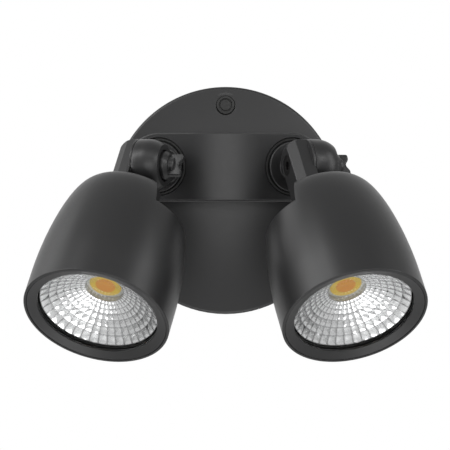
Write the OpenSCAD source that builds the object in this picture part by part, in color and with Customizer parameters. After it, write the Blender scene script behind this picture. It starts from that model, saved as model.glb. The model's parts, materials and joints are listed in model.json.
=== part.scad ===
// Twin outdoor spotlight: a round wall cover with a raised saddle, and two heads on swivel arms.
// Lengths are in millimetres. The wall is the plane y = 0 and the lamp stands out towards -y.
// Each head hangs on a knuckle: it tilts about the knuckle pin, and its arm swivels in the saddle.

/* [Wall cover] */
// Radius of the round wall cover
cover_r = 70; // [67:1:80]
// Wall thickness of the cover casting
cover_wall = 3; // [2.5:0.5:4]
// Height of the cover's upright rim, from the wall gasket to the edge of the dome
rim_h = 16; // [15:1:22]
// Rise of the domed face, from its edge to its middle
dome_rise = 8.6; // [6:0.2:11]
// Radius of the rounded edge between rim and dome
rim_round = 2.2; // [1:0.1:3]
// Thickness of the gasket between cover and wall
gasket_t = 2; // [1:0.5:4]
// Width of the gasket ring
gasket_w = 4.7; // [3:0.1:5.5]

/* [Saddle] */
// Height of the saddle's middle line above the cover's middle
saddle_y = 20.3; // [18:0.1:24]
// Half height of the saddle, which is also the radius of its two round ends
saddle_r = 20.5; // [19.5:0.5:23]
// Distance of each arm socket from the middle plane
socket_x = 40.7; // [37:0.1:44]
// Distance of the socket faces from the wall, at the socket's middle
socket_z = 43.6; // [41:0.1:48]
// Angle that each socket face turns outwards
flare = 19.7; // [14:0.1:24]
// Half width of the rounded front between the two socket faces
crown_x = 22; // [18:1:23]
// Wall thickness of the saddle
saddle_wall = 3.2; // [2.5:0.1:3.5]

/* [Swivel] */
// Radius of the arm's round foot
foot_r = 15.3; // [14:0.1:15.8]
// Radius of the sunk seat that the foot turns in
seat_r = 17.5; // [16.9:0.1:18]
// Depth of the sunk seat
seat_depth = 2; // [1.5:0.1:3]
// Height of the foot above the socket face
foot_h = 1.6; // [1:0.1:2.5]
// Radius of the hollow threaded tail
tail_r = 10.4; // [9.5:0.1:11]
// Length of the tail below the seat
tail_len = 17; // [16:0.5:20]
// Radial play of the tail in the cover
swivel_play = 0.05; // [0.02:0.01:0.1]
// Thickness of the boss below the seat
boss_t = 6; // [5:0.5:7]
// Thickness of the spring washer
washer_t = 1.4; // [1:0.1:2]
// Height of the lock nut
nut_h = 6; // [4:0.5:7]
// Thickness of the round seal cord
seal_d = 1.9; // [1.5:0.1:2]

/* [Knuckle] */
// Distance of the knuckle pin from the socket face
pivot_h = 27; // [26:0.5:30]
// Radius of the knuckle
knuckle_r = 16; // [15:0.1:16.5]
// Distance of the knuckle's two ends from its middle
knuckle_x = 14.2; // [13:0.1:16]
// Distance from the middle at which the arm's half starts to round off
knuckle_round_x = 4.3; // [3:0.1:5]
// Distance of the joint line between the two halves from the middle, on the head's side
split_x = 1.5; // [0:0.1:2]
// Radius that the edge of the head's half loses as it rounds off
ear_round_r = 6.2; // [5:0.1:7]
// Half height of the head's neck at the joint line
neck_y = 12.3; // [11:0.1:13]
// Radius of the arm's neck
arm_neck_r = 8; // [7.8:0.1:9]
// Radius of the knuckle bolt
bolt_r = 3; // [2.5:0.1:3.5]
// Radial play of the bolt
bolt_play = 0.05; // [0.02:0.01:0.1]
// Radius of the bolt's head
bolt_head_r = 6; // [5.5:0.1:7]
// Height of the bolt's head
bolt_head_h = 3.6; // [3:0.1:4]
// Thickness of the toothed washer between the two halves
tooth_t = 0.6; // [0.4:0.1:1]
// Number of teeth on that washer
teeth = 24; // [16:4:32]
// Radius of the hollow way for the leads
lead_r = 3.2; // [2.5:0.1:3.4]

/* [Clamp knob] */
// Radius of the knob's round hub
hub_r = 8.6; // [8:0.1:9]
// Radial gap around the hub in its recess
hub_gap = 0.9; // [0.5:0.1:1]
// Depth of the recess
hub_recess = 2.5; // [2:0.1:3]
// Length of the hub outside the knuckle
hub_len = 4; // [3:0.1:5]
// Length of the wing beyond the hub
wing_len = 7.4; // [6:0.1:10]
// Half height of the wing
wing_y = 7.2; // [6:0.1:8]
// Thickness of the wing
wing_t = 3.4; // [2.5:0.1:4]
// Angle at which the wing stands at rest
wing_turn = 28; // [0:1:45]

/* [Head] */
// Radius of the head at its open end
head_r = 43.2; // [42:0.1:46]
// Distance from the knuckle pin to the open end
head_len = 114.8; // [110:0.1:122]
// Length of the straight stretch behind the open end
straight_len = 17.8; // [15:0.1:24]
// Distance from the open end to the closed back
back_s = 67.3; // [65:0.1:71]
// Distance from the open end to the tip of the hood over the knuckle
hood_s = 85.3; // [83:0.1:89]
// Radius of the hood at its tip
tip_r = 28.5; // [26:0.5:31]
// Power of the curve that narrows the head
bell_power = 1.76; // [1.5:0.01:2]
// Wall thickness of the hood
hood_wall = 3.6; // [3:0.1:4.2]
// Half angle of the hood around the head
hood_angle = 48; // [40:1:60]
// Tilt of the heads below the socket's own direction, as shown
tilt = 50.1; // [30:0.1:80]

/* [Light] */
// Width of the front ring, from the edge of the head to its opening
front_w = 7.6; // [6.8:0.1:8.5]
// Depth of the front ring's inner edge behind its outer edge
mouth_dish = 2.1; // [1:0.1:3]
// Radial wall of the head around the front ring
lip_t = 1.6; // [1.2:0.1:2]
// Thickness of the front glass
glass_t = 1.6; // [1.4:0.1:3]
// Thickness of the glass seal
glass_seal_t = 0.8; // [0.5:0.1:1.5]
// Distance of the reflector's front edge inside the opening's edge
reflector_tuck = 0.6; // [0.2:0.1:1]
// Radius of the reflector at the light source
throat_r = 11.3; // [10.8:0.1:12.5]
// Depth of the reflector
reflector_h = 13.9; // [12:0.1:15]
// Number of facets around the reflector
facet_columns = 40; // [24:4:48]
// Number of facet rows from the light source to the front edge
facet_rows = 7; // [5:1:9]
// Radius of the yellow field of the light source
glow_r = 9.5; // [8.5:0.1:9.8]
// Radius of the orange field in its middle
core_r = 5.8; // [5:0.1:7]
// Side of the light source's square board
board_w = 24; // [22:0.5:26]
// Thickness of that board
board_t = 1.2; // [1:0.1:2]
// Thickness of the heat plate behind it
heat_plate_t = 6; // [4:0.5:8]

/* [Wall plate] */
// Thickness of the wall plate
plate_t = 2.5; // [2:0.1:3]
// Gap between the plate and the inside of the cover
plate_gap = 2.7; // [2:0.1:3.5]
// Distance of each fixing hole from the middle
fixing_x = 44.45; // [38:0.05:50]
// Radius of the fixing holes
fixing_r = 2.6; // [2:0.1:3]
// Radius of the supply cable's way through the grommet
cable_r = 5; // [3:0.1:6]
// Distance of the cover's screw from the cover's edge
screw_edge = 11.4; // [10:0.1:13]
// Radius of the rubber plug over that screw
plug_r = 5.6; // [5:0.1:6]

/* [Hidden] */

$fn = 96;
// overlap that lets cuts run past a face
over = 1;
// play between a screw and its hole
screw_play = 0.05;
// play between parts that only drop into each other
fit = 0.1;
// play between two flat faces that turn on each other
seat_play = 0.05;

// Cover: the dome is a cap of a large ball, and a ring of radius rim_round blends it into the rim.
rim_top = gasket_t + rim_h;
dome_r = (cover_r * cover_r + dome_rise * dome_rise) / (2 * dome_rise);
dome_mid = rim_top + dome_rise - dome_r;
// height of the domed face above the wall, at a distance from the middle
function dome_z(r) = dome_mid + sqrt(dome_r * dome_r - r * r);

// Saddle: two flat faces turned outwards, and a round crown that touches both.
crown_r = crown_x / sin(flare);
face_z = socket_z + (socket_x - crown_x) * tan(flare);
crown_mid = face_z - crown_r * cos(flare);
saddle_end = socket_x + saddle_r;
crown_flats = 7;

// Wall plate and what it carries
plate_r = cover_r - cover_wall - plate_gap;
screw_y = cover_r - screw_edge;
cover_screw_r = 2;
cover_screw_head_r = 3.8;
cover_screw_head_h = 2.4;
pillar_r = 4.4;
pillar_h = 3.5;
screw_boss_r = 8;
screw_seat = plate_t + pillar_h + 4;
plug_top = dome_z(screw_y) + 0.1;
plug_groove_r = 3.7;
hook_w = 18;
hook_reach = 2.2;
hook_play = 0.3;
ledge_bottom = plate_t + hook_play;
ledge_top = ledge_bottom + 2.7;
grommet_flange_r = 14;
grommet_seat_r = 10.5;
grommet_flange_t = 2;
small_screw_r = 1.6;
small_head_r = 2.9;
small_head_h = 1.9;

// LED driver, a sealed case with two fixing ears
driver_w = 72;
driver_l = 30;
driver_h = 12;
driver_y = -31;
driver_ear = 8;
driver_ear_t = 2;
driver_screw_x = driver_w / 2 + driver_ear / 2;
driver_lead_r = 2;
driver_lead_y = driver_l * 0.28;
driver_lead_depth = 3;

// Terminal block with three ways
block_w = 30;
block_l = 16;
block_h = 13;
block_y = 28;
block_pitch = 9;
block_screw_r = 1.8;
block_wire_r = 1.9;
earth_x = -27;
earth_y = 2;

// Swivel levels along the arm's own axis, measured from the socket face
boss_bottom = -seat_depth - boss_t;
washer_top = boss_bottom - seat_play;
washer_bottom = washer_top - washer_t;
nut_bottom = washer_bottom - nut_h;
tail_end = -seat_depth - tail_len;
nut_r = min(1.42 * tail_r, saddle_r - saddle_wall - 1.5);
seal_r = (foot_r + seat_r) / 2;
foot_chamfer = 0.7;

// Knuckle levels along its pin, measured from the middle
half_gap = tooth_t / 2;
head_half_x = split_x + half_gap;
arm_half_x = half_gap - split_x;
ear_round_x = 4.5;
ear_steps = 6;
bolt_seat_x = knuckle_x - bolt_head_h - 0.4;
lead_ring_in = bolt_r + 2.9;
lead_ring_out = lead_ring_in + 5;
lead_ring_depth = 4;
tooth_in = lead_ring_out + 0.5;
tooth_out = knuckle_r - 0.7;
tooth_cut = 1.1;
arm_swing_gap = 1.5;
arm_lead_x = lead_r - 0.2;
head_lead_x = lead_r + split_x + 1.3;
recess_r = hub_r + hub_gap;
recess_x = knuckle_x - hub_recess;
hub_end = knuckle_x + hub_len;
hub_tip_r = hub_r - 1.7;
wing_end = hub_end + wing_len;
bolt_end = hub_end + 1.5;

// Head levels are distances s from the open end, and z = head_len - s along the head's axis.
ring_play = 0.1;
ring_r = head_r - lip_t - ring_play;
mouth_r = head_r - front_w;
reflector_r = mouth_r - reflector_tuck;
glass_s = mouth_dish + 1.7;
glass_r = mouth_r + 2.7;
seal_s = glass_s + glass_t;
flange_s = seal_s + glass_seal_t;
flange_t = 1;
pocket_s = flange_s + flange_t;
bore_r = ring_r - 2.9;
throat_s = flange_s + reflector_h;
holder_s = throat_s + 0.1;
glow_s = throat_s + 2.8;
board_s = glow_s + 0.5;
heat_plate_s = board_s + board_t;
ledge_s = heat_plate_s + heat_plate_t;
chamber_r = bore_r - 5.6;
chamber_end = back_s - 4;
shell_t = 1.2;
holder_r = 19;
holder_collar_r = throat_r + 2;
holder_flange_t = 2.4;
holder_screw_at = 16.6;
holder_screw_r = 1.3;
holder_head_r = 2.2;
holder_head_h = 1.2;
heat_screw_at = (bore_r + chamber_r) / 2;
heat_screw_start = 30;
heat_screw_grip = 6;
heat_lead_r = 3;
neck_base = head_len - back_s;
back_round = 1.5;
bell_steps = 14;

// radius of the head's outside at the distance s from the open end
function bell_r(s) = s <= straight_len ? head_r
  : tip_r + (head_r - tip_r) * pow(1 - pow((s - straight_len) / (hood_s - straight_len), bell_power), 1 / bell_power);
// distances between two levels, closer together towards the far end
function bell_levels(a, b) = [for (i = [0:bell_steps]) a + (b - a) * sin(90 * i / bell_steps)];
// depth of the reflector's surface behind the open end, a parabola
function mirror_s(r) =
  throat_s - reflector_h * (r * r - throat_r * throat_r) / (reflector_r * reflector_r - throat_r * throat_r);
// radius of a facet row's edge, with rows that widen evenly towards the front
function row_step(i) = i + 0.07 * i * (i - 1);
function row_r(i) = throat_r + (reflector_r - throat_r) * row_step(i) / row_step(facet_rows);

// Places
// turns the flat working plane of the base up against the wall
module on_wall() { rotate([90, 0, 0]) children(); }
// side is -1 for the left arm and 1 for the right one
module at_socket(side) { translate([side * socket_x, saddle_y, socket_z]) rotate([0, side * flare, 0]) children(); }
module on_arm(side) { on_wall() at_socket(side) children(); }
module at_pivot() { translate([0, 0, pivot_h]) children(); }
module on_head(side) { on_arm(side) at_pivot() rotate([tilt, 0, 0]) children(); }
module on_knob(side) { on_arm(side) at_pivot() rotate([-wing_turn, 0, 0]) children(); }
// lays a shape that was turned about z along the knuckle pin instead
module along_pin() { rotate([0, 90, 0]) children(); }
// places copies evenly around the z axis
module around(count, radius, start = 0) {
  for (i = [0:count - 1])
    rotate([0, 0, start + 360 * i / count]) translate([radius, 0, 0]) children();
}

// a ring with a square section, from one level up to another
module ring(inner, outer, low, high) {
  translate([0, 0, low])
    difference() {
      cylinder(r = outer, h = high - low);
      translate([0, 0, -over]) cylinder(r = inner, h = high - low + 2 * over);
    }
}

// a pan-headed screw that points down, with the underside of its head at z = 0
module pan_screw(shank_r, head_r, head_h, length) {
  slot_w = head_r * 0.3;
  translate([0, 0, -length]) cylinder(r = shank_r, h = length + over / 2);
  difference() {
    cylinder(r = head_r, h = head_h);
    translate([-head_r, -slot_w / 2, head_h * 0.5]) cube([2 * head_r, slot_w, head_h]);
    translate([-slot_w / 2, -head_r, head_h * 0.5]) cube([slot_w, 2 * head_r, head_h]);
  }
}

// Base
// half section of the cover, drawn inside its outer face by inset
module cover_section(inset) {
  edge = cover_r - inset;
  ball = dome_r - inset;
  round_r = max(rim_round - inset, 0.4);
  round_x = edge - round_r;
  round_y = dome_mid + sqrt(pow(ball - round_r, 2) - round_x * round_x);
  touch_x = round_x * ball / (ball - round_r);
  intersection() {
    translate([0, dome_mid]) circle(r = ball, $fn = 720);
    square([touch_x, rim_top + dome_rise]);
  }
  translate([round_x, round_y]) circle(r = round_r, $fn = 48);
  square([edge, round_y]);
}

module cover_body(inset) {
  rotate_extrude($fn = 180) cover_section(inset);
}

// the saddle's outline seen from the front
module saddle_outline(inset) {
  for (side = [-1, 1])
    translate([side * socket_x, saddle_y]) circle(r = saddle_r - inset);
  translate([-socket_x, saddle_y - saddle_r + inset]) square([2 * socket_x, 2 * (saddle_r - inset)]);
}

// the saddle's outline seen from above: width along x, distance from the wall along y
module saddle_plan(inset) {
  round_r = crown_r - inset;
  end_x = saddle_end + over;
  end_z = crown_mid + round_r * cos(flare) - (end_x - round_r * sin(flare)) * tan(flare);
  polygon(concat(
    [[-end_x, 0], [end_x, 0], [end_x, end_z]],
    [for (i = [crown_flats:-1:-crown_flats])
      [round_r * sin(flare * i / crown_flats), crown_mid + round_r * cos(flare * i / crown_flats)]],
    [[-end_x, end_z]]
  ));
}

module saddle_body(inset) {
  intersection() {
    linear_extrude(height = 2 * socket_z) saddle_outline(inset);
    translate([0, saddle_y + 2 * saddle_r, 0])
      rotate([90, 0, 0]) linear_extrude(height = 4 * saddle_r) saddle_plan(inset);
  }
}

module base_cover() {
  color("#2b2b2d")
    on_wall()
      difference() {
        union() {
          difference() {
            union() {
              cover_body(0);
              saddle_body(0);
            }
            cover_body(cover_wall);
            saddle_body(saddle_wall);
          }
          for (side = [-1, 1])
            at_socket(side)
              translate([0, 0, boss_bottom]) cylinder(r = seat_r + 0.6, h = boss_t + seat_depth - 0.4);
          translate([0, screw_y, plate_t + pillar_h])
            cylinder(r = screw_boss_r, h = dome_z(screw_y + screw_boss_r) - plate_t - pillar_h - 0.6);
          intersection() {
            translate([-hook_w / 2, -cover_r, ledge_bottom])
              cube([hook_w, cover_r - plate_r + hook_reach, ledge_top - ledge_bottom]);
            cylinder(r = cover_r - cover_wall / 2, h = rim_top);
          }
        }
        translate([0, 0, gasket_t - cover_r]) cylinder(r = 2 * cover_r, h = cover_r);
        for (side = [-1, 1])
          at_socket(side) {
            translate([0, 0, -seat_depth]) cylinder(r = seat_r, h = 2 * seat_r);
            translate([0, 0, boss_bottom - over]) cylinder(r = tail_r + swivel_play, h = boss_t + 2 * over);
          }
        translate([0, screw_y, 0]) cylinder(r = cover_screw_r + 0.3, h = rim_top + dome_rise, $fn = 48);
        translate([0, screw_y, screw_seat]) cylinder(r = plug_r + fit, h = rim_top, $fn = 64);
      }
}

module wall_gasket() {
  color("#3a3a3a") on_wall() ring(cover_r - 0.5 - gasket_w, cover_r - 0.5, 0, gasket_t);
}

module wall_plate() {
  color("silver")
    on_wall()
      difference() {
        union() {
          cylinder(r = plate_r, h = plate_t);
          translate([0, screw_y, 0]) cylinder(r = pillar_r, h = plate_t + pillar_h, $fn = 64);
          hook();
        }
        translate([0, 0, -over]) cylinder(r = grommet_seat_r, h = plate_t + 2 * over);
        for (side = [-1, 1])
          translate([side * fixing_x, 0, -over]) cylinder(r = fixing_r, h = plate_t + 2 * over, $fn = 48);
        for (side = [-1, 1])
          translate([side * driver_screw_x, driver_y, -over])
            cylinder(r = small_screw_r + screw_play, h = plate_t + 2 * over, $fn = 32);
        translate([0, screw_y, over]) cylinder(r = cover_screw_r + screw_play, h = plate_t + pillar_h, $fn = 48);
        translate([earth_x, earth_y, -over])
          cylinder(r = small_screw_r + screw_play, h = plate_t + 2 * over, $fn = 32);
      }
}

// the tongue at the bottom of the plate that the cover hangs on
module hook() {
  stem_t = 2.4;
  stem_y = hook_reach + stem_t + hook_play;
  lip_z = ledge_top + hook_play;
  tongue_t = 2.4;
  translate([-hook_w / 2 + 1, 0, 0])
    rotate([90, 0, 90])
      linear_extrude(height = hook_w - 2)
        polygon([
          [-plate_r + stem_y, 0],
          [-plate_r + stem_y, lip_z + tongue_t],
          [-plate_r + 0.6, lip_z + tongue_t],
          [-plate_r + 0.6, lip_z],
          [-plate_r + stem_y - stem_t, lip_z],
          [-plate_r + stem_y - stem_t, 0]
        ]);
}

module cover_screw() {
  color("silver")
    on_wall()
      translate([0, screw_y, screw_seat])
        pan_screw(cover_screw_r, cover_screw_head_r, cover_screw_head_h, screw_seat - over - 0.5, $fn = 48);
}

module screw_plug() {
  plug_bottom = screw_seat + cover_screw_head_h + 0.2;
  color("#202022")
    on_wall()
      translate([0, screw_y, 0])
        difference() {
          translate([0, 0, plug_bottom]) cylinder(r = plug_r, h = plug_top - plug_bottom, $fn = 64);
          translate([0, 0, plug_top - 0.7]) cylinder(r = plug_groove_r, h = over, $fn = 48);
        }
}

module cable_grommet() {
  color("#1f1f1f")
    on_wall() {
      ring(cable_r, grommet_seat_r - 0.02, 0, plate_t + 0.5);
      ring(cable_r, grommet_flange_r, plate_t, plate_t + grommet_flange_t);
    }
}

module terminal_block() {
  color("white")
    on_wall()
      translate([0, block_y, plate_t])
        difference() {
          translate([-block_w / 2, -block_l / 2, 0]) cube([block_w, block_l, block_h]);
          for (i = [-1:1])
            translate([i * block_pitch, 0, 0]) {
              translate([0, block_l, block_h * 0.4]) rotate([90, 0, 0]) cylinder(r = block_wire_r, h = 2 * block_l, $fn = 32);
              translate([0, 0, block_h * 0.4]) cylinder(r = block_screw_r + 0.3, h = block_h, $fn = 32);
            }
          for (i = [-0.5, 0.5])
            for (end = [-1, 1])
              translate([i * block_pitch - 0.6, end * block_l / 2 - 2, block_h * 0.55]) cube([1.2, 4, block_h]);
        }
}

module terminal_screws() {
  color("gold")
    on_wall()
      for (i = [-1:1])
        translate([i * block_pitch, block_y, plate_t])
          difference() {
            translate([0, 0, block_h * 0.4 + 0.6]) cylinder(r = block_screw_r, h = block_h * 0.5, $fn = 32);
            translate([-block_screw_r, -0.4, block_h * 0.9 - 0.6]) cube([2 * block_screw_r, 0.8, block_h]);
          }
}

module led_driver() {
  color("#e8e8e4")
    on_wall()
      translate([0, driver_y, plate_t])
        difference() {
          union() {
            translate([-driver_w / 2, -driver_l / 2, 0]) cube([driver_w, driver_l, driver_h]);
            for (side = [-1, 1])
              translate([side * driver_screw_x - driver_ear / 2, -driver_ear / 2, 0])
                cube([driver_ear, driver_ear, driver_ear_t]);
          }
          for (side = [-1, 1])
            translate([side * driver_screw_x, 0, -over])
              cylinder(r = small_screw_r + screw_play, h = driver_ear_t + 2 * over, $fn = 32);
          for (side = [-1, 1])
            translate([side * driver_w / 2, driver_lead_y, driver_h / 2])
              rotate([0, 90, 0]) cylinder(r = driver_lead_r, h = 2 * driver_lead_depth, center = true, $fn = 32);
        }
}

module driver_screws() {
  color("silver")
    on_wall()
      for (side = [-1, 1])
        translate([side * driver_screw_x, driver_y, plate_t + driver_ear_t])
          pan_screw(small_screw_r, small_head_r, small_head_h, plate_t + driver_ear_t - 0.2, $fn = 32);
}

module earth_screw() {
  color("gold")
    on_wall()
      translate([earth_x, earth_y, plate_t])
        pan_screw(small_screw_r, small_head_r + 0.6, small_head_h, plate_t - 0.2, $fn = 32);
}

// Arm
// the arm's half of the knuckle, turned about the pin
module arm_half() {
  along_pin()
    rotate_extrude($fn = 128)
      intersection() {
        union() {
          translate([0, knuckle_round_x]) circle(r = knuckle_r, $fn = 128);
          translate([0, -split_x]) square([knuckle_r, knuckle_round_x + split_x]);
        }
        translate([0, arm_half_x]) square([knuckle_r, knuckle_x - arm_half_x]);
      }
}

// the hollow ring in each half that the leads pass through
module lead_ring(from, to) {
  along_pin() ring(lead_ring_in, lead_ring_out, from, to);
}

module swivel_arm() {
  post_x = knuckle_x - 2.5;
  neck_top = pivot_h - knuckle_r - 0.8;
  color("#2b2b2d")
    difference() {
      union() {
        translate([0, 0, tail_end]) cylinder(r = tail_r, h = tail_len + over);
        translate([0, 0, -seat_depth]) cylinder(r = foot_r, h = seat_depth + foot_h - foot_chamfer);
        translate([0, 0, foot_h - foot_chamfer - 0.01])
          cylinder(r1 = foot_r, r2 = foot_r - foot_chamfer, h = foot_chamfer + 0.01);
        cylinder(r = arm_neck_r, h = neck_top);
        at_pivot() arm_half();
        translate([arm_half_x, 0, 0])
          rotate([90, 0, 90])
            linear_extrude(height = post_x - arm_half_x)
              polygon([
                [-arm_neck_r - 1, foot_h - 0.3],
                [arm_neck_r + 1, foot_h - 0.3],
                [knuckle_r - 0.8, pivot_h - 5],
                [knuckle_r - 0.8, pivot_h],
                [-knuckle_r + 0.8, pivot_h],
                [-knuckle_r + 0.8, pivot_h - 5]
              ]);
      }
      at_pivot() {
        along_pin() translate([0, 0, -split_x - over]) cylinder(r = bolt_r + bolt_play, h = 2 * knuckle_x, $fn = 64);
        along_pin() translate([0, 0, recess_x]) cylinder(r = recess_r, h = knuckle_x);
        lead_ring(-split_x, arm_half_x + lead_ring_depth);
      }
      translate([arm_lead_x, 0, tail_end - over])
        cylinder(r = lead_r, h = pivot_h - lead_ring_in - 1 - tail_end + over, $fn = 48);
    }
}

module swivel_seal() {
  color("#151515")
    translate([0, 0, -seat_depth + seal_d / 2])
      rotate_extrude($fn = 96)
        translate([seal_r, 0]) circle(r = seal_d / 2, $fn = 24);
}

module spring_washer() {
  color("silver") ring(tail_r + fit, nut_r, washer_bottom, washer_top);
}

module lock_nut() {
  color("silver")
    translate([0, 0, nut_bottom])
      difference() {
        cylinder(r = nut_r, h = nut_h, $fn = 6);
        translate([0, 0, -over]) cylinder(r = tail_r + 0.02, h = nut_h + 2 * over);
      }
}

// Head
// corner points of the neck's outline on one side of the pin, from the middle outwards
function neck_corners() = [[0, neck_y], [3.3, neck_y - 0.3], [8.7, neck_y - 2.7], [knuckle_x, neck_y - 3.8]];

// section of the head's neck across its axis
module neck_outline() {
  corners = neck_corners();
  last = len(corners) - 1;
  polygon(concat(
    corners,
    [for (i = [last:-1:1]) [corners[i][0], -corners[i][1]]],
    [for (i = [0:last]) [-corners[i][0], -corners[i][1]]],
    [for (i = [last:-1:1]) [-corners[i][0], corners[i][1]]]
  ));
}

// the head's half of the knuckle, on the -x side of the pin
module head_half() {
  reach = knuckle_x - ear_round_x;
  mirror([1, 0, 0])
    along_pin()
      rotate_extrude($fn = 128)
        polygon(concat(
          [[0, head_half_x], [knuckle_r, head_half_x]],
          [for (i = [0:ear_steps])
            [knuckle_r - ear_round_r * (1 - cos(90 * i / ear_steps)), ear_round_x + reach * sin(90 * i / ear_steps)]],
          [[0, knuckle_x]]
        ));
}

// outer points of the head between two levels, as radius and height along the head's axis
function bell_points(a, b) = [for (s = bell_levels(a, b)) [bell_r(s), head_len - s]];

module bell(inset) {
  rotate_extrude($fn = 180)
    polygon(concat(
      [[0, head_len]],
      [[head_r - inset, head_len]],
      [for (p = bell_points(straight_len, back_s - back_round)) [p[0] - inset, p[1]]],
      [[bell_r(back_s) - back_round - inset, neck_base], [0, neck_base]]
    ));
}

// the curved cover that carries the head's outline on over the knuckle
module hood() {
  reach = 2 * head_r;
  intersection() {
    rotate_extrude($fn = 180)
      polygon(concat(
        [for (p = bell_points(back_s - back_round, hood_s)) p],
        [for (s = [hood_s, (hood_s + back_s) / 2, back_s - back_round]) [bell_r(s) - hood_wall, head_len - s]]
      ));
    linear_extrude(height = head_len)
      polygon([
        [0, 0],
        [reach * sin(hood_angle), reach * cos(hood_angle)],
        [0, 2 * reach],
        [-reach * sin(hood_angle), reach * cos(hood_angle)]
      ]);
  }
}

module housing() {
  neck_top = knuckle_r + arm_swing_gap;
  color("#2b2b2d")
    difference() {
      union() {
        bell(0);
        hood();
        head_half();
        intersection() {
          linear_extrude(height = neck_base + over) neck_outline();
          translate([-2 * knuckle_x - head_half_x, -head_r, 0]) cube([2 * knuckle_x, 2 * head_r, head_len]);
        }
        translate([0, 0, neck_top]) linear_extrude(height = neck_base + over - neck_top) neck_outline();
      }
      mirror([1, 0, 0])
        along_pin() {
          cylinder(r = bolt_r + bolt_play, h = knuckle_x + over, $fn = 64);
          translate([0, 0, bolt_seat_x - seat_play]) cylinder(r = bolt_head_r + fit, h = knuckle_x, $fn = 64);
        }
      mirror([1, 0, 0]) lead_ring(split_x, head_half_x + lead_ring_depth);
      translate([-head_lead_x, 0, lead_ring_in + 1]) cylinder(r = lead_r, h = head_len - chamber_end, $fn = 48);
      translate([0, 0, head_len - pocket_s]) cylinder(r = ring_r + ring_play, h = head_len);
      translate([0, 0, head_len - ledge_s]) cylinder(r = bore_r, h = head_len);
      translate([0, 0, head_len - chamber_end]) cylinder(r = chamber_r, h = head_len);
      translate([0, 0, head_len - ledge_s - heat_screw_grip - over])
        around(3, heat_screw_at, heat_screw_start)
          cylinder(r = small_screw_r + screw_play, h = heat_screw_grip + heat_plate_t + over, $fn = 32);
    }
}

module knuckle_bolt() {
  color("silver")
    difference() {
      union() {
        mirror([1, 0, 0])
          along_pin() translate([0, 0, bolt_seat_x]) cylinder(r = bolt_head_r, h = bolt_head_h, $fn = 64);
        translate([-bolt_seat_x - bolt_head_h / 2, 0, 0])
          along_pin() cylinder(r = bolt_r, h = bolt_seat_x + bolt_head_h / 2 + bolt_end, $fn = 64);
      }
      translate([-knuckle_x - over, 0, 0]) along_pin() cylinder(r = bolt_head_r * 0.5, h = over + 2.2, $fn = 6);
    }
}

module tooth_washer() {
  color("silver")
    difference() {
      along_pin() ring(tooth_in, tooth_out, -head_half_x, -split_x + half_gap - seat_play);
      along_pin()
        around(teeth, tooth_out) translate([-1.2, -tooth_cut / 2, -split_x - over]) cube([2.4, tooth_cut, 2 * over]);
    }
}

// the wing's outline: along the pin, and up and down from it
module wing_outline() {
  corner = 1.6;
  dip_r = 5;
  dip = 2;
  difference() {
    union() {
      translate([knuckle_x + 0.6, -wing_y + 1.5]) square([wing_len, 2 * wing_y - 3]);
      translate([hub_end - 1, -wing_y]) square([wing_len + 1 - corner, 2 * wing_y]);
      translate([hub_end - 1, -wing_y + corner]) square([wing_len + 1, 2 * (wing_y - corner)]);
      for (side = [-1, 1])
        translate([wing_end - corner, side * (wing_y - corner)]) circle(r = corner, $fn = 32);
    }
    translate([wing_end + dip_r - dip, 0]) circle(r = dip_r, $fn = 48);
  }
}

module clamp_knob() {
  color("#2b2b2d")
    difference() {
      union() {
        along_pin()
          rotate_extrude($fn = 96)
            polygon([
              [0, recess_x + seat_play],
              [hub_r, recess_x + seat_play],
              [hub_r, knuckle_x + 0.8],
              [hub_r - 0.5, knuckle_x + hub_len * 0.6],
              [hub_tip_r, hub_end],
              [0, hub_end]
            ]);
        translate([0, 0, -wing_t / 2]) linear_extrude(height = wing_t) wing_outline();
      }
      along_pin() translate([0, 0, recess_x - over]) cylinder(r = bolt_r + bolt_play, h = bolt_end + 0.5 - recess_x + over, $fn = 64);
    }
}

// Light engine, all of it drawn in the head's own frame
module heat_plate() {
  color("lightgray")
    difference() {
      translate([0, 0, head_len - ledge_s]) cylinder(r = bore_r - fit, h = heat_plate_t);
      translate([0, 0, head_len - ledge_s - over]) {
        around(3, heat_screw_at, heat_screw_start)
          cylinder(r = small_screw_r + screw_play, h = heat_plate_t + 2 * over, $fn = 32);
        around(2, holder_screw_at) cylinder(r = holder_screw_r + screw_play, h = heat_plate_t + 2 * over, $fn = 32);
        around(1, holder_r + heat_lead_r + 2, 90) cylinder(r = heat_lead_r, h = heat_plate_t + 2 * over, $fn = 32);
      }
    }
}

module heat_plate_screws() {
  color("silver")
    translate([0, 0, head_len - heat_plate_s])
      around(3, heat_screw_at, heat_screw_start)
        pan_screw(small_screw_r, small_head_r - 0.3, small_head_h, heat_plate_t + heat_screw_grip, $fn = 32);
}

module led_board() {
  color("white")
    translate([-board_w / 2, -board_w / 2, head_len - heat_plate_s]) cube([board_w, board_w, board_t]);
}

module led_phosphor() {
  color("gold") translate([0, 0, head_len - board_s]) cylinder(r = glow_r, h = board_s - glow_s);
  color("orange") translate([0, 0, head_len - board_s]) cylinder(r = core_r, h = board_s - glow_s + 0.2);
}

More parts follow.
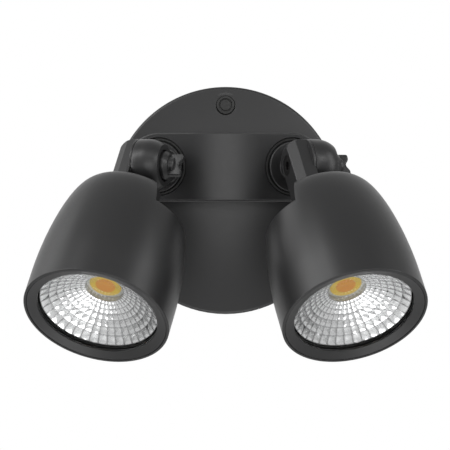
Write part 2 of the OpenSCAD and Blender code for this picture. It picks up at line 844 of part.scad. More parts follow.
module led_holder() {
  pocket = board_w + 0.4;
  color("whitesmoke")
    difference() {
      union() {
        translate([0, 0, head_len - heat_plate_s]) cylinder(r = holder_r, h = board_t + holder_flange_t);
        translate([0, 0, head_len - heat_plate_s]) cylinder(r = holder_collar_r, h = heat_plate_s - holder_s);
      }
      translate([0, 0, head_len - heat_plate_s - over]) cylinder(r = throat_r, h = heat_plate_s);
      translate([-pocket / 2, -pocket / 2, head_len - heat_plate_s - over]) cube([pocket, pocket, board_t + over + 0.02]);
      translate([0, 0, head_len - heat_plate_s - over])
        around(2, holder_screw_at) cylinder(r = holder_screw_r + screw_play, h = heat_plate_s, $fn = 32);
      translate([0, 0, head_len - heat_plate_s + board_t + holder_flange_t - holder_head_h])
        around(2, holder_screw_at) cylinder(r = holder_head_r + fit, h = 2 * holder_head_h, $fn = 32);
    }
}

module holder_screws() {
  color("silver")
    translate([0, 0, head_len - heat_plate_s + board_t + holder_flange_t - holder_head_h])
      around(2, holder_screw_at)
        pan_screw(holder_screw_r, holder_head_r, holder_head_h, board_t + holder_flange_t - holder_head_h + heat_plate_t - 1, $fn = 32);
}

// the space inside the facets, which flat rows and columns bound on every side
module mirror_space() {
  rings = [for (i = [0:facet_rows]) [row_r(i), head_len - mirror_s(row_r(i))]];
  low = [[throat_r, head_len - throat_s - 2 * over]];
  high = [[reflector_r, head_len]];
  levels = concat(low, rings, high);
  count = len(levels);
  points = [for (level = levels) for (k = [0:facet_columns - 1])
    [level[0] * cos(360 * k / facet_columns), level[0] * sin(360 * k / facet_columns), level[1]]];
  sides = [for (i = [0:count - 2]) for (k = [0:facet_columns - 1])
    let (a = i * facet_columns + k, b = i * facet_columns + (k + 1) % facet_columns)
    [a, a + facet_columns, b + facet_columns, b]];
  polyhedron(
    points = points,
    faces = concat(
      [[for (k = [0:facet_columns - 1]) k]],
      sides,
      [[for (k = [facet_columns - 1:-1:0]) (count - 1) * facet_columns + k]]
    )
  );
}

module reflector() {
  back = 2 * facet_rows;
  color("#d8dade")
    difference() {
      rotate_extrude($fn = 120)
        polygon(concat(
          [[ring_r, head_len - flange_s], [ring_r, head_len - pocket_s], [reflector_r + shell_t + 0.8, head_len - pocket_s]],
          [for (i = [facet_rows:-1:1]) [row_r(i) + 0.8 * shell_t, head_len - mirror_s(row_r(i)) - shell_t]],
          [[holder_collar_r + fit, head_len - throat_s], [throat_r - 1, head_len - throat_s], [throat_r - 1, head_len - flange_s]]
        ));
      mirror_space();
    }
}

module glass_seal() {
  color("#8a8a8a") ring(mouth_r + 0.6, glass_r - fit, head_len - flange_s, head_len - seal_s);
}

module front_glass() {
  color("lightblue", 0.3) translate([0, 0, head_len - seal_s]) cylinder(r = glass_r, h = glass_t);
}

module front_ring() {
  color("#2b2b2d")
    rotate_extrude($fn = 180)
      polygon([
        [ring_r, head_len - 0.2],
        [mouth_r, head_len - 0.2 - mouth_dish],
        [mouth_r, head_len - glass_s],
        [glass_r + fit, head_len - glass_s],
        [glass_r + fit, head_len - flange_s],
        [ring_r, head_len - flange_s]
      ]);
}

wall_gasket();
wall_plate();
base_cover();
cover_screw();
screw_plug();
cable_grommet();
terminal_block();
terminal_screws();
led_driver();
driver_screws();
earth_screw();
on_arm(-1) swivel_arm();  // left_arm
on_arm(-1) swivel_seal();  // left_swivel_seal
on_arm(-1) spring_washer();  // left_spring_washer
on_arm(-1) lock_nut();  // left_lock_nut
on_head(-1) housing();  // left_housing
on_head(-1) knuckle_bolt();  // left_knuckle_bolt
on_head(-1) tooth_washer();  // left_tooth_washer
on_knob(-1) clamp_knob();  // left_knob
on_head(-1) heat_plate();  // left_heat_plate
on_head(-1) heat_plate_screws();  // left_heat_plate_screws
on_head(-1) led_board();  // left_led_board
on_head(-1) led_phosphor();  // left_led_phosphor
on_head(-1) led_holder();  // left_led_holder
on_head(-1) holder_screws();  // left_holder_screws
on_head(-1) reflector();  // left_reflector
on_head(-1) glass_seal();  // left_glass_seal
on_head(-1) front_glass();  // left_front_glass
on_head(-1) front_ring();  // left_front_ring
on_arm(1) swivel_arm();  // right_arm
on_arm(1) swivel_seal();  // right_swivel_seal
on_arm(1) spring_washer();  // right_spring_washer
on_arm(1) lock_nut();  // right_lock_nut
on_head(1) housing();  // right_housing
on_head(1) knuckle_bolt();  // right_knuckle_bolt
on_head(1) tooth_washer();  // right_tooth_washer
on_knob(1) clamp_knob();  // right_knob
on_head(1) heat_plate();  // right_heat_plate
on_head(1) heat_plate_screws();  // right_heat_plate_screws
on_head(1) led_board();  // right_led_board
on_head(1) led_phosphor();  // right_led_phosphor
on_head(1) led_holder();  // right_led_holder
on_head(1) holder_screws();  // right_holder_screws
on_head(1) reflector();  // right_reflector
on_head(1) glass_seal();  // right_glass_seal
on_head(1) front_glass();  // right_front_glass
on_head(1) front_ring();  // right_front_ring
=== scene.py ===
# %% [markdown]
# # A twin outdoor spotlight
# The lamp is a round cast cover with a raised saddle, two arms that swivel in it, and two cup-shaped heads on
# knuckles. All castings carry a satin black powder coat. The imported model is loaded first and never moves. Every
# piece made below is worked out as a surface in the same place, and then rides on the body that carries it.

# %% Load the fixed frame
import bpy
import bmesh
import json
import math
import numpy as np
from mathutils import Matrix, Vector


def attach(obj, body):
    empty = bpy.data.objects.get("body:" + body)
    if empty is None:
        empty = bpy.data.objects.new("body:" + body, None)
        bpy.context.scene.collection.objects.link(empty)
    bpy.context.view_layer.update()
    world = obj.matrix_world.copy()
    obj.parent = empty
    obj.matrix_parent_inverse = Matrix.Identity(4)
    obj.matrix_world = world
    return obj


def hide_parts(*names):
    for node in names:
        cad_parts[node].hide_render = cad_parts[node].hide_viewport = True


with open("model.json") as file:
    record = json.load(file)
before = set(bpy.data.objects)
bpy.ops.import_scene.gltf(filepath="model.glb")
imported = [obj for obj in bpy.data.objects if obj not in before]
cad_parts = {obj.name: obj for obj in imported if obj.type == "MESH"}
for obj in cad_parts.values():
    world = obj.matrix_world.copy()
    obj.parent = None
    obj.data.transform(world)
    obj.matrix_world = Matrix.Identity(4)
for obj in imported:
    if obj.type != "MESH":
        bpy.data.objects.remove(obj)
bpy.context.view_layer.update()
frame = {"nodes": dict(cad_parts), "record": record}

# %% [markdown]
# Blender works in metres, but a lamp is easier to think about in millimetres. So each shape is worked out in
# millimetres, and one factor turns it into metres when it is finished. The sizes are those of the real lamp.

# %% Driving sizes
MM = 0.001
SIDES = {"left": -1, "right": 1}

COVER_R, COVER_WALL, GASKET_T, RIM_TOP = 69.97, 3.0, 2.0, 18.0
DOME_RISE, RIM_ROUND = 8.6, 2.2
SADDLE_UP, SADDLE_R, CROWN_X = 20.3, 20.5, 22.0
SOCKET_X, SOCKET_OUT = 40.7, 43.6
FLARE = math.radians(19.7)
SCREW_UP, PLUG_R = 58.6, 5.6

SEAT_R, SEAT_DEPTH, FOOT_R, FOOT_H, TAIL_R, TAIL_END = 17.5, 2.0, 15.3, 1.6, 10.4, -19.0
PIVOT = 27.0
KNUCKLE_R, KNUCKLE_X, SPLIT_X, HALF_GAP = 16.0, 14.2, 1.5, 0.3
BOLT_R, BOLT_HEAD_R, BOLT_HEAD_H = 3.0, 6.0, 3.6
HUB_R, HUB_LEN, RECESS_R, RECESS_X = 8.6, 4.0, 9.5, 11.7
WING_LEN, WING_Y, WING_T = 7.4, 7.2, 3.4
WING_TURN = math.radians(28)

TILT = math.radians(50.1)
HEAD_R, HEAD_LEN, STRAIGHT, BACK_S, HOOD_S = 43.2, 114.8, 17.8, 67.3, 85.3
TIP_R, BELL_POWER, HOOD_WALL = 28.5, 1.76, 3.6
HOOD_ANGLE = math.radians(48)
RING_R, MOUTH_R, MOUTH_DISH = 41.5, 35.6, 2.1
GLASS_S, GLASS_T, SEAL_T = 3.8, 1.6, 0.8
FLANGE_S = GLASS_S + GLASS_T + SEAL_T
REFLECTOR_R, REFLECTOR_H, THROAT_R = 35.0, 13.9, 11.3
THROAT_S = FLANGE_S + REFLECTOR_H
print("throat of the reflector lies", round(THROAT_S, 1), "mm behind the open end")

# %% [markdown]
# ## Places
# Every part of a lamp like this has its own natural directions: the cover is drawn as seen from the front, the arm
# along its swivel axis, and the head along its own axis. A place is therefore an origin and three directions, and
# a shape drawn in its own directions is laid into the room with one matrix product.


# %% Directions of the cover, the arms, the heads and the knobs
def turned_about_pin(axes, angle):
    """The same three directions after a turn about the first one: y goes to y cos + z sin, and z to z cos - y sin."""
    pin, y, z = axes
    return np.array([pin, math.cos(angle) * y + math.sin(angle) * z, math.cos(angle) * z - math.sin(angle) * y])


PLACES = {"cover": (np.zeros(3), np.array([[1.0, 0, 0], [0, 0, 1], [0, -1, 0]]))}
for lamp, side in SIDES.items():
    pin = np.array([math.cos(FLARE), side * math.sin(FLARE), 0.0])
    outwards = np.array([side * math.sin(FLARE), -math.cos(FLARE), 0.0])
    axes = np.array([pin, [0.0, 0.0, 1.0], outwards])
    socket = np.array([side * SOCKET_X, -SOCKET_OUT, SADDLE_UP])
    pivot = socket + PIVOT * outwards
    PLACES[lamp + "_arm"] = (socket, axes)
    PLACES[lamp + "_head"] = (pivot, turned_about_pin(axes, TILT))
    PLACES[lamp + "_knob"] = (pivot, turned_about_pin(axes, -WING_TURN))
    print(lamp, "knuckle pin at", np.round(pivot, 1), "mm")

# %% [markdown]
# ## Camera and light
# The photograph was taken from straight in front with a long lens. The camera stands 1.86 m away, a little below
# the middle of the cover. Satin black shows its shape by what it mirrors, so the room matters as much as the lamps.
# The room's brightness changes softly with the direction: each wall counts by the square of how far a ray points
# towards it, and those squares always add up to one. Only mirrors see it. The camera and glass see plain white.
# Blender's map of a world's bright spots doesn't know who is looking, so sampling by that map is switched off.

# %% Camera
CAMERA_AT = (-0.00037, -1.8638, -0.01507)
camera_data = bpy.data.cameras.new("camera")
camera_data.lens = 240
camera_data.sensor_width = 36
camera_data.clip_end = 50
camera = bpy.data.objects.new("camera", camera_data)
camera.location = CAMERA_AT
camera.rotation_euler = (math.radians(90), 0, 0)
bpy.context.scene.collection.objects.link(camera)
bpy.context.scene.camera = camera


# %% Soft boxes
def softbox(name, place, target, width, height, watts):
    """A rectangular lamp at place that faces target, all in metres."""
    data = bpy.data.lights.new(name, "AREA")
    data.shape, data.size, data.size_y = "RECTANGLE", width, height
    data.energy = watts
    lamp = bpy.data.objects.new(name, data)
    lamp.location = place
    lamp.rotation_mode = "QUATERNION"
    lamp.rotation_quaternion = (Vector(target) - Vector(place)).to_track_quat("-Z", "Y")
    bpy.context.scene.collection.objects.link(lamp)
    print(name, watts, "W")


AIM = (0, -0.05, 0)
LAMPS = {  # place, width and height in metres, then watts
    "front_light": ((0, -2.4, 0.1), 1.5, 1.0, 9.0),
    "low_light": ((0, -0.9, -1.6), 1.2, 0.9, 8.5),
    "top_light": ((0, -1.2, 1.3), 1.2, 0.6, 2.0),
    "high_left_light": ((-0.9, -0.7, 1.25), 0.6, 0.6, 4.5),
    "high_right_light": ((1.0, -1.3, 0.9), 0.6, 0.6, 4.5),
    "left_light": ((-1.15, -0.4, 0.4), 0.5, 1.2, 7.5),
    "left_back_light": ((-1.1, 0.45, 0.5), 0.5, 1.2, 2.5),
    "right_light": ((1.15, -0.35, 0.35), 0.5, 1.2, 5.0),
}
for name, (place, width, height, watts) in LAMPS.items():
    softbox(name, place, AIM, width, height, watts)


# %% Nodes that are fed by other nodes
def feed(tree, socket, value):
    """Links another node's output to an input socket, or sets the socket to a number or a colour."""
    if isinstance(value, bpy.types.NodeSocket):
        tree.links.new(value, socket)
    else:
        socket.default_value = value


def maths(tree, operation, first, second):
    """The output of one Math node."""
    node = tree.nodes.new("ShaderNodeMath")
    node.operation = operation
    feed(tree, node.inputs[0], first)
    feed(tree, node.inputs[1], second)
    return node.outputs[0]


# %% Soft room
ROOM = {  # the axis each wall crosses, on which side, and how bright it is
    "right": (0, 1, 0.20), "left": (0, -1, 0.20), "back": (1, 1, 1.0),
    "front": (1, -1, 0.85), "ceiling": (2, 1, 0.46), "floor": (2, -1, 0.45),
}
world = bpy.data.worlds.new("studio")
world.use_nodes = True
world.cycles.sampling_method = "NONE"
bpy.context.scene.world = world
tree = world.node_tree
direction = tree.nodes.new("ShaderNodeTexCoord")
parts = tree.nodes.new("ShaderNodeSeparateXYZ")
tree.links.new(direction.outputs["Generated"], parts.inputs[0])
room_light = 0.0
for axis, way, level in ROOM.values():
    towards = maths(tree, "MAXIMUM", maths(tree, "MULTIPLY", parts.outputs[axis], way), 0.0)
    share = maths(tree, "MULTIPLY", towards, towards)
    room_light = maths(tree, "ADD", maths(tree, "MULTIPLY", share, level), room_light)
rays = tree.nodes.new("ShaderNodeLightPath")
mirrored = maths(tree, "MULTIPLY", rays.outputs["Is Glossy Ray"], room_light)
seen = maths(tree, "MAXIMUM", rays.outputs["Is Camera Ray"], rays.outputs["Is Transmission Ray"])
tree.links.new(maths(tree, "MAXIMUM", mirrored, seen), tree.nodes["Background"].inputs["Color"])
bpy.context.scene.view_settings.view_transform = "Standard"
print("room seen by mirrors:", ROOM)

# %% [markdown]
# ## Surfaces
# Almost everything here is turned, cast or moulded, so two ideas make most shapes. A profile whose corners are
# rounded is turned about an axis, or a flat outline is carried along a line. Both give a grid of points, computed
# as whole arrays. Real castings have no knife edges, so every corner gets an arc, and each arc has a point close
# beside both of its ends, which keeps the shading of the flat faces next to it flat.


# %% Rounded outlines
def rounded(corners, radii, steps=6, hold=0.08, closed=False):
    """An outline with its corners replaced by arcs. With half angle h between a corner's sides, the arc of radius
    r leaves each side r / tan(h) from the corner, and its centre lies r / sin(h) from it on the middle line."""
    corners = np.asarray(corners, float)
    radii = np.broadcast_to(np.asarray(radii, float), len(corners))
    points = []
    for i, (corner, radius) in enumerate(zip(corners, radii)):
        if radius <= 0 or (not closed and i in (0, len(corners) - 1)):
            points.append(corner[None])
            continue
        back, ahead = corners[i - 1] - corner, corners[(i + 1) % len(corners)] - corner
        back_len, ahead_len = np.linalg.norm(back), np.linalg.norm(ahead)
        back, ahead = back / back_len, ahead / ahead_len
        half = math.acos(np.clip(back @ ahead, -0.99999, 0.99999)) / 2
        leave = min(radius / math.tan(half), 0.45 * back_len, 0.45 * ahead_len)
        radius = leave * math.tan(half)
        middle = (back + ahead) / np.linalg.norm(back + ahead)
        centre = corner + middle * radius / math.sin(half)
        start, end = corner + back * leave - centre, corner + ahead * leave - centre
        turn = math.pi - 2 * half
        t = np.linspace(0, 1, steps + 1)[:, None]
        arc = centre + (np.sin((1 - t) * turn) * start + np.sin(t * turn) * end) / math.sin(turn)
        near = min(hold, 0.5 * (min(back_len, ahead_len) - leave))
        points += [(corner + back * (leave + near))[None], arc, (corner + ahead * (leave + near))[None]]
    return np.concatenate(points)


def turned(profile, count, start=0.0, end=2 * math.pi):
    """A grid: the profile's points (r, z) turned about z, x = r cos(angle) and y = r sin(angle)."""
    whole = abs(end - start - 2 * math.pi) < 1e-9
    angle = np.linspace(start, end, count, endpoint=not whole)[:, None]
    r, z = profile[None, :, 0], profile[None, :, 1]
    return np.stack([r * np.cos(angle), r * np.sin(angle), z + 0 * angle], -1)


def about_pin(grid):
    """The same grid with its z axis laid along the knuckle pin."""
    return np.stack([grid[..., 2], grid[..., 1], -grid[..., 0]], -1)


def prism(outline, low, high):
    """A closed grid: a flat outline carried from low to high, with both ends drawn in to their middles."""
    middle = outline.mean(0)
    rows = [(middle + 0 * outline, low), (outline, low), (outline, high), (middle + 0 * outline, high)]
    return np.stack([np.column_stack([flat, np.full(len(flat), z)]) for flat, z in rows], 1)


# %% [markdown]
# A grid becomes a mesh by numbering its points row by row, so that the four corners of each cell are known by
# arithmetic alone. Seams and poles leave doubled points, which are merged, and then the faces of the closed shell
# are turned outwards. Where castings join or a hole goes through, Blender's exact Boolean does the cutting on the
# closed shells. All of that happens in the part's own directions and in millimetres.


# %% From grids to solids
def solid(name, grid, ring=True, loop=False):
    """A closed shell from a grid. As a ring, the last row meets the first; as a loop, the last column does too."""
    n, m = grid.shape[:2]
    i, j = np.meshgrid(np.arange(n if ring else n - 1), np.arange(m if loop else m - 1), indexing="ij")
    i2, j2 = (i + 1) % n, (j + 1) % m
    faces = np.stack([i * m + j, i2 * m + j, i2 * m + j2, i * m + j2], -1).reshape(-1, 4)
    mesh = bpy.data.meshes.new(name)
    mesh.from_pydata(grid.reshape(-1, 3).tolist(), [], faces.tolist())
    close_shell(mesh)
    shape = bpy.data.objects.new(name, mesh)
    bpy.context.scene.collection.objects.link(shape)
    return shape


def close_shell(mesh):
    """Merges doubled points and turns the faces outwards."""
    work = bmesh.new()
    work.from_mesh(mesh)
    bmesh.ops.remove_doubles(work, verts=work.verts, dist=0.0005)
    bmesh.ops.dissolve_degenerate(work, edges=work.edges, dist=0.00005)
    bmesh.ops.recalc_face_normals(work, faces=work.faces)
    open_edges = sum(not edge.is_manifold for edge in work.edges)
    if open_edges:
        print("   open edges in", mesh.name, open_edges)
    work.to_mesh(mesh)
    work.free()


def carve(shape, tool, how):
    """Joins a tool to a shape (UNION), cuts it away (DIFFERENCE) or keeps what both share (INTERSECT)."""
    step = shape.modifiers.new(how, "BOOLEAN")
    step.operation, step.solver, step.object = how, "EXACT", tool
    graph = bpy.context.evaluated_depsgraph_get()
    mesh = bpy.data.meshes.new_from_object(shape.evaluated_get(graph))
    shape.modifiers.clear()
    shape.data = mesh
    bpy.data.objects.remove(tool)


# %% [markdown]
# A finished shape is then copied into its place. Its points are read as one array, laid into the room, and written
# back in metres, so the object itself stays at the origin, unturned. Edges sharper than a limit stay crisp, and
# everything else is shaded smooth.


# %% From solids to pieces
def points_of(mesh):
    """All points of a mesh as one array, a row of x, y and z for each."""
    points = np.empty(len(mesh.vertices) * 3)
    mesh.vertices.foreach_get("co", points)
    return points.reshape(-1, 3)


def store(shape, name, values):
    """Keeps one number for each point of a shape, where a finish can read it by its name."""
    shape.data.attributes.new(name, "FLOAT", "POINT").data.foreach_set("value", values.astype(np.float32))


def put(shape, name, place, body, slot, replaced, crisp=30):
    """Copies a shape into a place with its slot's finish, hangs it on its body, and hides the solids it stands for."""
    mesh = shape.data.copy()
    mesh.name = name
    origin, axes = PLACES[place]
    mesh.vertices.foreach_set("co", ((points_of(mesh) @ axes + origin) * MM).ravel())
    mesh.update()
    mesh.shade_smooth()
    mesh.set_sharp_from_angle(angle=math.radians(crisp))
    mesh.materials.clear()
    mesh.materials.append(FINISH[BY_SLOT[slot]])
    piece = bpy.data.objects.new(name, mesh)
    bpy.context.scene.collection.objects.link(piece)
    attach(piece, body)
    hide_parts(*replaced)
    low, high = points_of(mesh).min(0), points_of(mesh).max(0)
    print(f"{name}: {len(mesh.polygons)} faces, {np.round((high - low) / MM, 1)} mm")


def put_on_both(shape, name, on, slot, replaced, crisp=30):
    """The same shape on the left and on the right lamp, after which the shape itself is no longer needed."""
    for lamp in SIDES:
        part = lamp + "_" + on
        put(shape, f"{lamp}_{name}", part, part + "_body", slot, [f"{lamp}_{replaced}"], crisp)
    bpy.data.objects.remove(shape)


# %% [markdown]
# ## Finishes
# Every finish is procedural and reads Object coordinates, which are metres here, so its grain has the real size.
# One recipe serves most of them: a slow noise moves the colour between two close tones, a second one moves the
# roughness, and a fine one raises the surface. A Bevel node softens the light on edges that the mesh leaves sharp.


# %% Two nodes that every finish needs
def blend(tree, share, first, second):
    """A colour Mix node: share is its input 0, the two colours are inputs 6 and 7, and output 2 is the mixed one."""
    node = tree.nodes.new("ShaderNodeMix")
    node.data_type = "RGBA"
    for index, value in ((0, share), (6, first), (7, second)):
        feed(tree, node.inputs[index], value)
    return node.outputs[2]


def between(tree, value, low, high, first=0.0, last=1.0):
    """A Map Range node: while the value goes from low to high, the result goes from first to last."""
    node = tree.nodes.new("ShaderNodeMapRange")
    for index, number in enumerate((value, low, high, first, last)):
        feed(tree, node.inputs[index], number)
    return node.outputs["Result"]


# %% One recipe for cast, moulded and plated surfaces
def finish(name, dark, light, rough, grain, height, metallic=0.0, blotch=60, stretch=(1, 1, 1), edge=0.0003):
    """Colours dark to light, roughness from rough[0] to rough[1], grain per metre, raised by height in metres."""
    material = bpy.data.materials.new(name)
    material.use_nodes = True
    tree = material.node_tree
    nodes, links = tree.nodes, tree.links
    shader = nodes["Principled BSDF"]
    shader.inputs["Metallic"].default_value = metallic
    place = nodes.new("ShaderNodeTexCoord")
    stretched = nodes.new("ShaderNodeMapping")
    stretched.inputs["Scale"].default_value = stretch
    links.new(place.outputs["Object"], stretched.inputs["Vector"])

    def noise(scale, detail):
        """Noise with scale waves per metre, along the stretched directions."""
        node = nodes.new("ShaderNodeTexNoise")
        node.inputs["Scale"].default_value = scale
        node.inputs["Detail"].default_value = detail
        links.new(stretched.outputs["Vector"], node.inputs["Vector"])
        return node.outputs["Fac"]

    slow, middle, fine = noise(blotch, 3), noise(grain * 0.3, 2), noise(grain, 2)
    links.new(blend(tree, slow, (*dark, 1), (*light, 1)), shader.inputs["Base Color"])
    links.new(between(tree, middle, 0.3, 0.7, *rough), shader.inputs["Roughness"])
    raised = nodes.new("ShaderNodeBump")
    raised.inputs["Distance"].default_value = height
    links.new(fine, raised.inputs["Height"])
    links.new(raised.outputs["Normal"], shader.inputs["Normal"])
    if edge:
        soft_edge = nodes.new("ShaderNodeBevel")
        soft_edge.samples = 4
        soft_edge.inputs["Radius"].default_value = edge
        links.new(soft_edge.outputs["Normal"], raised.inputs["Normal"])
    return material


FINISH = {
    "coat": finish("satin_powder_coat", (0.0195, 0.0195, 0.020), (0.0225, 0.0225, 0.023), (0.35, 0.39),
                   1500, 0.00001),
    "plug": finish("plug_rubber", (0.018, 0.018, 0.018), (0.026, 0.026, 0.025), (0.5, 0.65), 2600, 0.00003),
    "gasket": finish("foam_rubber", (0.012, 0.012, 0.012), (0.03, 0.03, 0.029), (0.7, 0.9), 1800, 0.0002),
    "zinc": finish("zinc_plate", (0.42, 0.42, 0.40), (0.62, 0.62, 0.60), (0.22, 0.42), 700, 0.00001, 1.0, 180),
    "steel": finish("bright_steel", (0.50, 0.50, 0.49), (0.66, 0.66, 0.65), (0.18, 0.34), 2500, 0.00001, 1.0, 300),
    "dark_steel": finish("blackened_steel", (0.03, 0.03, 0.031), (0.07, 0.068, 0.066), (0.35, 0.5),
                         2500, 0.00001, 1.0, 300),
    "brass": finish("terminal_brass", (0.50, 0.33, 0.12), (0.68, 0.48, 0.19), (0.22, 0.42), 2200, 0.00001, 1.0, 250),
    "plastic": finish("nylon", (0.66, 0.66, 0.62), (0.76, 0.76, 0.73), (0.42, 0.6), 1600, 0.00003),
    "case": finish("driver_plastic", (0.60, 0.60, 0.57), (0.70, 0.70, 0.67), (0.5, 0.65), 1200, 0.00005),
    "aluminium": finish("milled_aluminium", (0.60, 0.60, 0.61), (0.74, 0.74, 0.75), (0.2, 0.4),
                        900, 0.00001, 1.0, 90, (1, 8, 1)),
    "board": finish("ceramic_board", (0.74, 0.74, 0.71), (0.82, 0.82, 0.80), (0.25, 0.4), 2000, 0.00001),
    "holder": finish("holder_plastic", (0.44, 0.45, 0.46), (0.49, 0.50, 0.50), (0.35, 0.5), 1800, 0.00001),
    "mirror": finish("coated_mirror", (0.80, 0.805, 0.81), (0.87, 0.87, 0.875), (0.06, 0.11),
                     2600, 0.000004, 1.0, 120, edge=0),
    "floor": finish("floor_paint", (0.78, 0.78, 0.78), (0.82, 0.82, 0.82), (0.8, 0.95), 60, 0.0002, edge=0),
}
print(len(FINISH), "finishes from one recipe")

# %% [markdown]
# Three finishes need more. The front glass is clear and polished on both faces, so all that shows is a little
# reflection: most of it is simply open, through the shader's own Alpha. The light source is a round pool of yellow
# silicone over its chips, deeper orange over the middle. The change follows the distance from the head's axis, which
# the piece itself stores as an attribute on its points. The reflector stores how near each point is to a crease
# between two facets, and there its colour is painted a darker grey, as painted shade in the creases.


# %% Glass and silicone
def stored(tree, name):
    """The number that a piece keeps on its points under that name."""
    node = tree.nodes.new("ShaderNodeAttribute")
    node.attribute_name = name
    return node.outputs["Fac"]


glass = finish("clear_glass", (0.92, 0.96, 0.95), (0.96, 0.98, 0.97), (0.01, 0.03), 300, 0.000001, edge=0)
clear = glass.node_tree.nodes["Principled BSDF"]
clear.inputs["Transmission Weight"].default_value = 1.0
clear.inputs["IOR"].default_value = 1.1
clear.inputs["Alpha"].default_value = 0.10

silicone = finish("yellow_silicone", (0.92, 0.64, 0.085), (0.96, 0.69, 0.10), (0.32, 0.45), 2200, 0.00002, edge=0)
ORANGE, ORANGE_ENDS, YELLOW_STARTS = (0.93, 0.38, 0.060, 1), 5.75, 6.05
tree = silicone.node_tree
base = tree.nodes["Principled BSDF"].inputs["Base Color"]
share = between(tree, stored(tree, "from_middle"), ORANGE_ENDS, YELLOW_STARTS)
tree.links.new(blend(tree, share, ORANGE, base.links[0].from_socket), base)
FINISH["glass"], FINISH["silicone"] = glass, silicone
print("silicone turns yellow", YELLOW_STARTS, "mm from the axis")

# %% Painted shade in the creases of the mirror
# Painted shade: the mirror's colour turns a darker grey towards each crease, standing in for the shade there.
CREASE_SHADE_COLOUR, CREASE_SHADE_START = (0.36, 0.36, 0.365, 1), 0.74
tree = FINISH["mirror"].node_tree
base = tree.nodes["Principled BSDF"].inputs["Base Color"]
share = between(tree, stored(tree, "near_crease"), CREASE_SHADE_START, 1.0)
tree.links.new(blend(tree, share, base.links[0].from_socket, CREASE_SHADE_COLOUR), base)
print("the mirror dulls from", CREASE_SHADE_START, "of the way to a crease")

# %% [markdown]
# Each piece's slot says what it is made of, and one table gives every slot its finish. The pieces inside the lamp,
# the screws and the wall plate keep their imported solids: their shapes are right, and each only needs its finish.

# %% The finish of each slot
BY_SLOT = {"black_coat": "coat", "gasket_rubber": "gasket", "plug_rubber": "plug", "zinc_steel": "zinc",
           "screw_steel": "steel", "brass": "brass", "terminal_plastic": "plastic", "driver_case": "case",
           "bare_aluminium": "aluminium", "led_board_white": "board", "led_phosphor": "silicone",
           "holder_plastic": "holder", "reflector_metal": "mirror", "front_glass": "glass"}
slot_of = {row["node"]: row["material_slot"] for row in frame["record"]["subparts"]}
for name, node in frame["nodes"].items():
    node.data.materials.clear()
    node.data.materials.append(FINISH["dark_steel" if "knuckle_bolt" in name else BY_SLOT[slot_of[name]]])
print(len(frame["nodes"]), "packed solids have a finish")

# %% [markdown]
# ## The cover
# The real cover is one casting: a shallow dome with an upright rim, and a saddle that grows out of it. A grid can
# follow it in one sheet. Around the saddle runs the outline of a long hole, two half circles joined by straight
# lines. Outwards, each line of the grid starts on the saddle's middle line, crosses its rounded edge, drops down
# its wall, turns through a small hollow into the dome, and ends on the rim. The lines from a rounded end reach the
# rim between 43 degrees above the middle and 10 below it. The same grid, set back by the wall thickness, is the
# inside.

# %% Around the saddle
STRAIGHT_STEPS, ROUND_STEPS = 36, 40
HIGH, LOW = 43, -10
line = np.linspace(-SOCKET_X, SOCKET_X, STRAIGHT_STEPS, endpoint=False)
half_turn = np.linspace(math.pi / 2, -math.pi / 2, ROUND_STEPS, endpoint=False)
middle_x = np.concatenate([line, np.full(ROUND_STEPS, SOCKET_X), -line, np.full(ROUND_STEPS, -SOCKET_X)])
flat = np.zeros(STRAIGHT_STEPS)
away_x = np.concatenate([flat, np.cos(half_turn), flat, -np.cos(half_turn)])
away_y = np.concatenate([flat + 1, np.sin(half_turn), flat - 1, -np.sin(half_turn)])
ring_angle = np.concatenate([
    math.radians(90) - line / SOCKET_X * math.radians(90 - HIGH),
    np.linspace(math.radians(HIGH), math.radians(LOW), ROUND_STEPS, endpoint=False),
    math.radians(-90) - line / SOCKET_X * math.radians(90 + LOW),
    np.linspace(math.radians(180 - LOW), math.radians(180 - HIGH), ROUND_STEPS, endpoint=False)])
print(len(middle_x), "lines run outwards from the saddle's middle line")

# %% Heights of the dome and the crown
DOME_R = (COVER_R ** 2 + DOME_RISE ** 2) / (2 * DOME_RISE)
DOME_MID = RIM_TOP + DOME_RISE - DOME_R
CROWN_R = CROWN_X / math.sin(FLARE)
CROWN_MID = SOCKET_OUT + (SOCKET_X - CROWN_X) * math.tan(FLARE) - CROWN_R * math.cos(FLARE)


def dome_height(x, y, inset=0.0):
    """The ball of radius DOME_R - inset around the point DOME_MID on the axis."""
    return DOME_MID + np.sqrt((DOME_R - inset) ** 2 - x ** 2 - y ** 2)


def crown_height(x, inset=0.0):
    """A round crown in the middle, and flat faces that fall away by tan(flare) beyond it."""
    x = np.abs(x)
    crown = CROWN_MID + np.sqrt(np.maximum((CROWN_R - inset) ** 2 - x ** 2, 0))
    faces = SOCKET_OUT - inset / math.cos(FLARE) - (x - SOCKET_X) * math.tan(FLARE)
    return np.where(x < (CROWN_R - inset) * math.sin(FLARE), crown, faces)


print("the crown stands", round(float(crown_height(0.0)), 1), "mm off the wall")


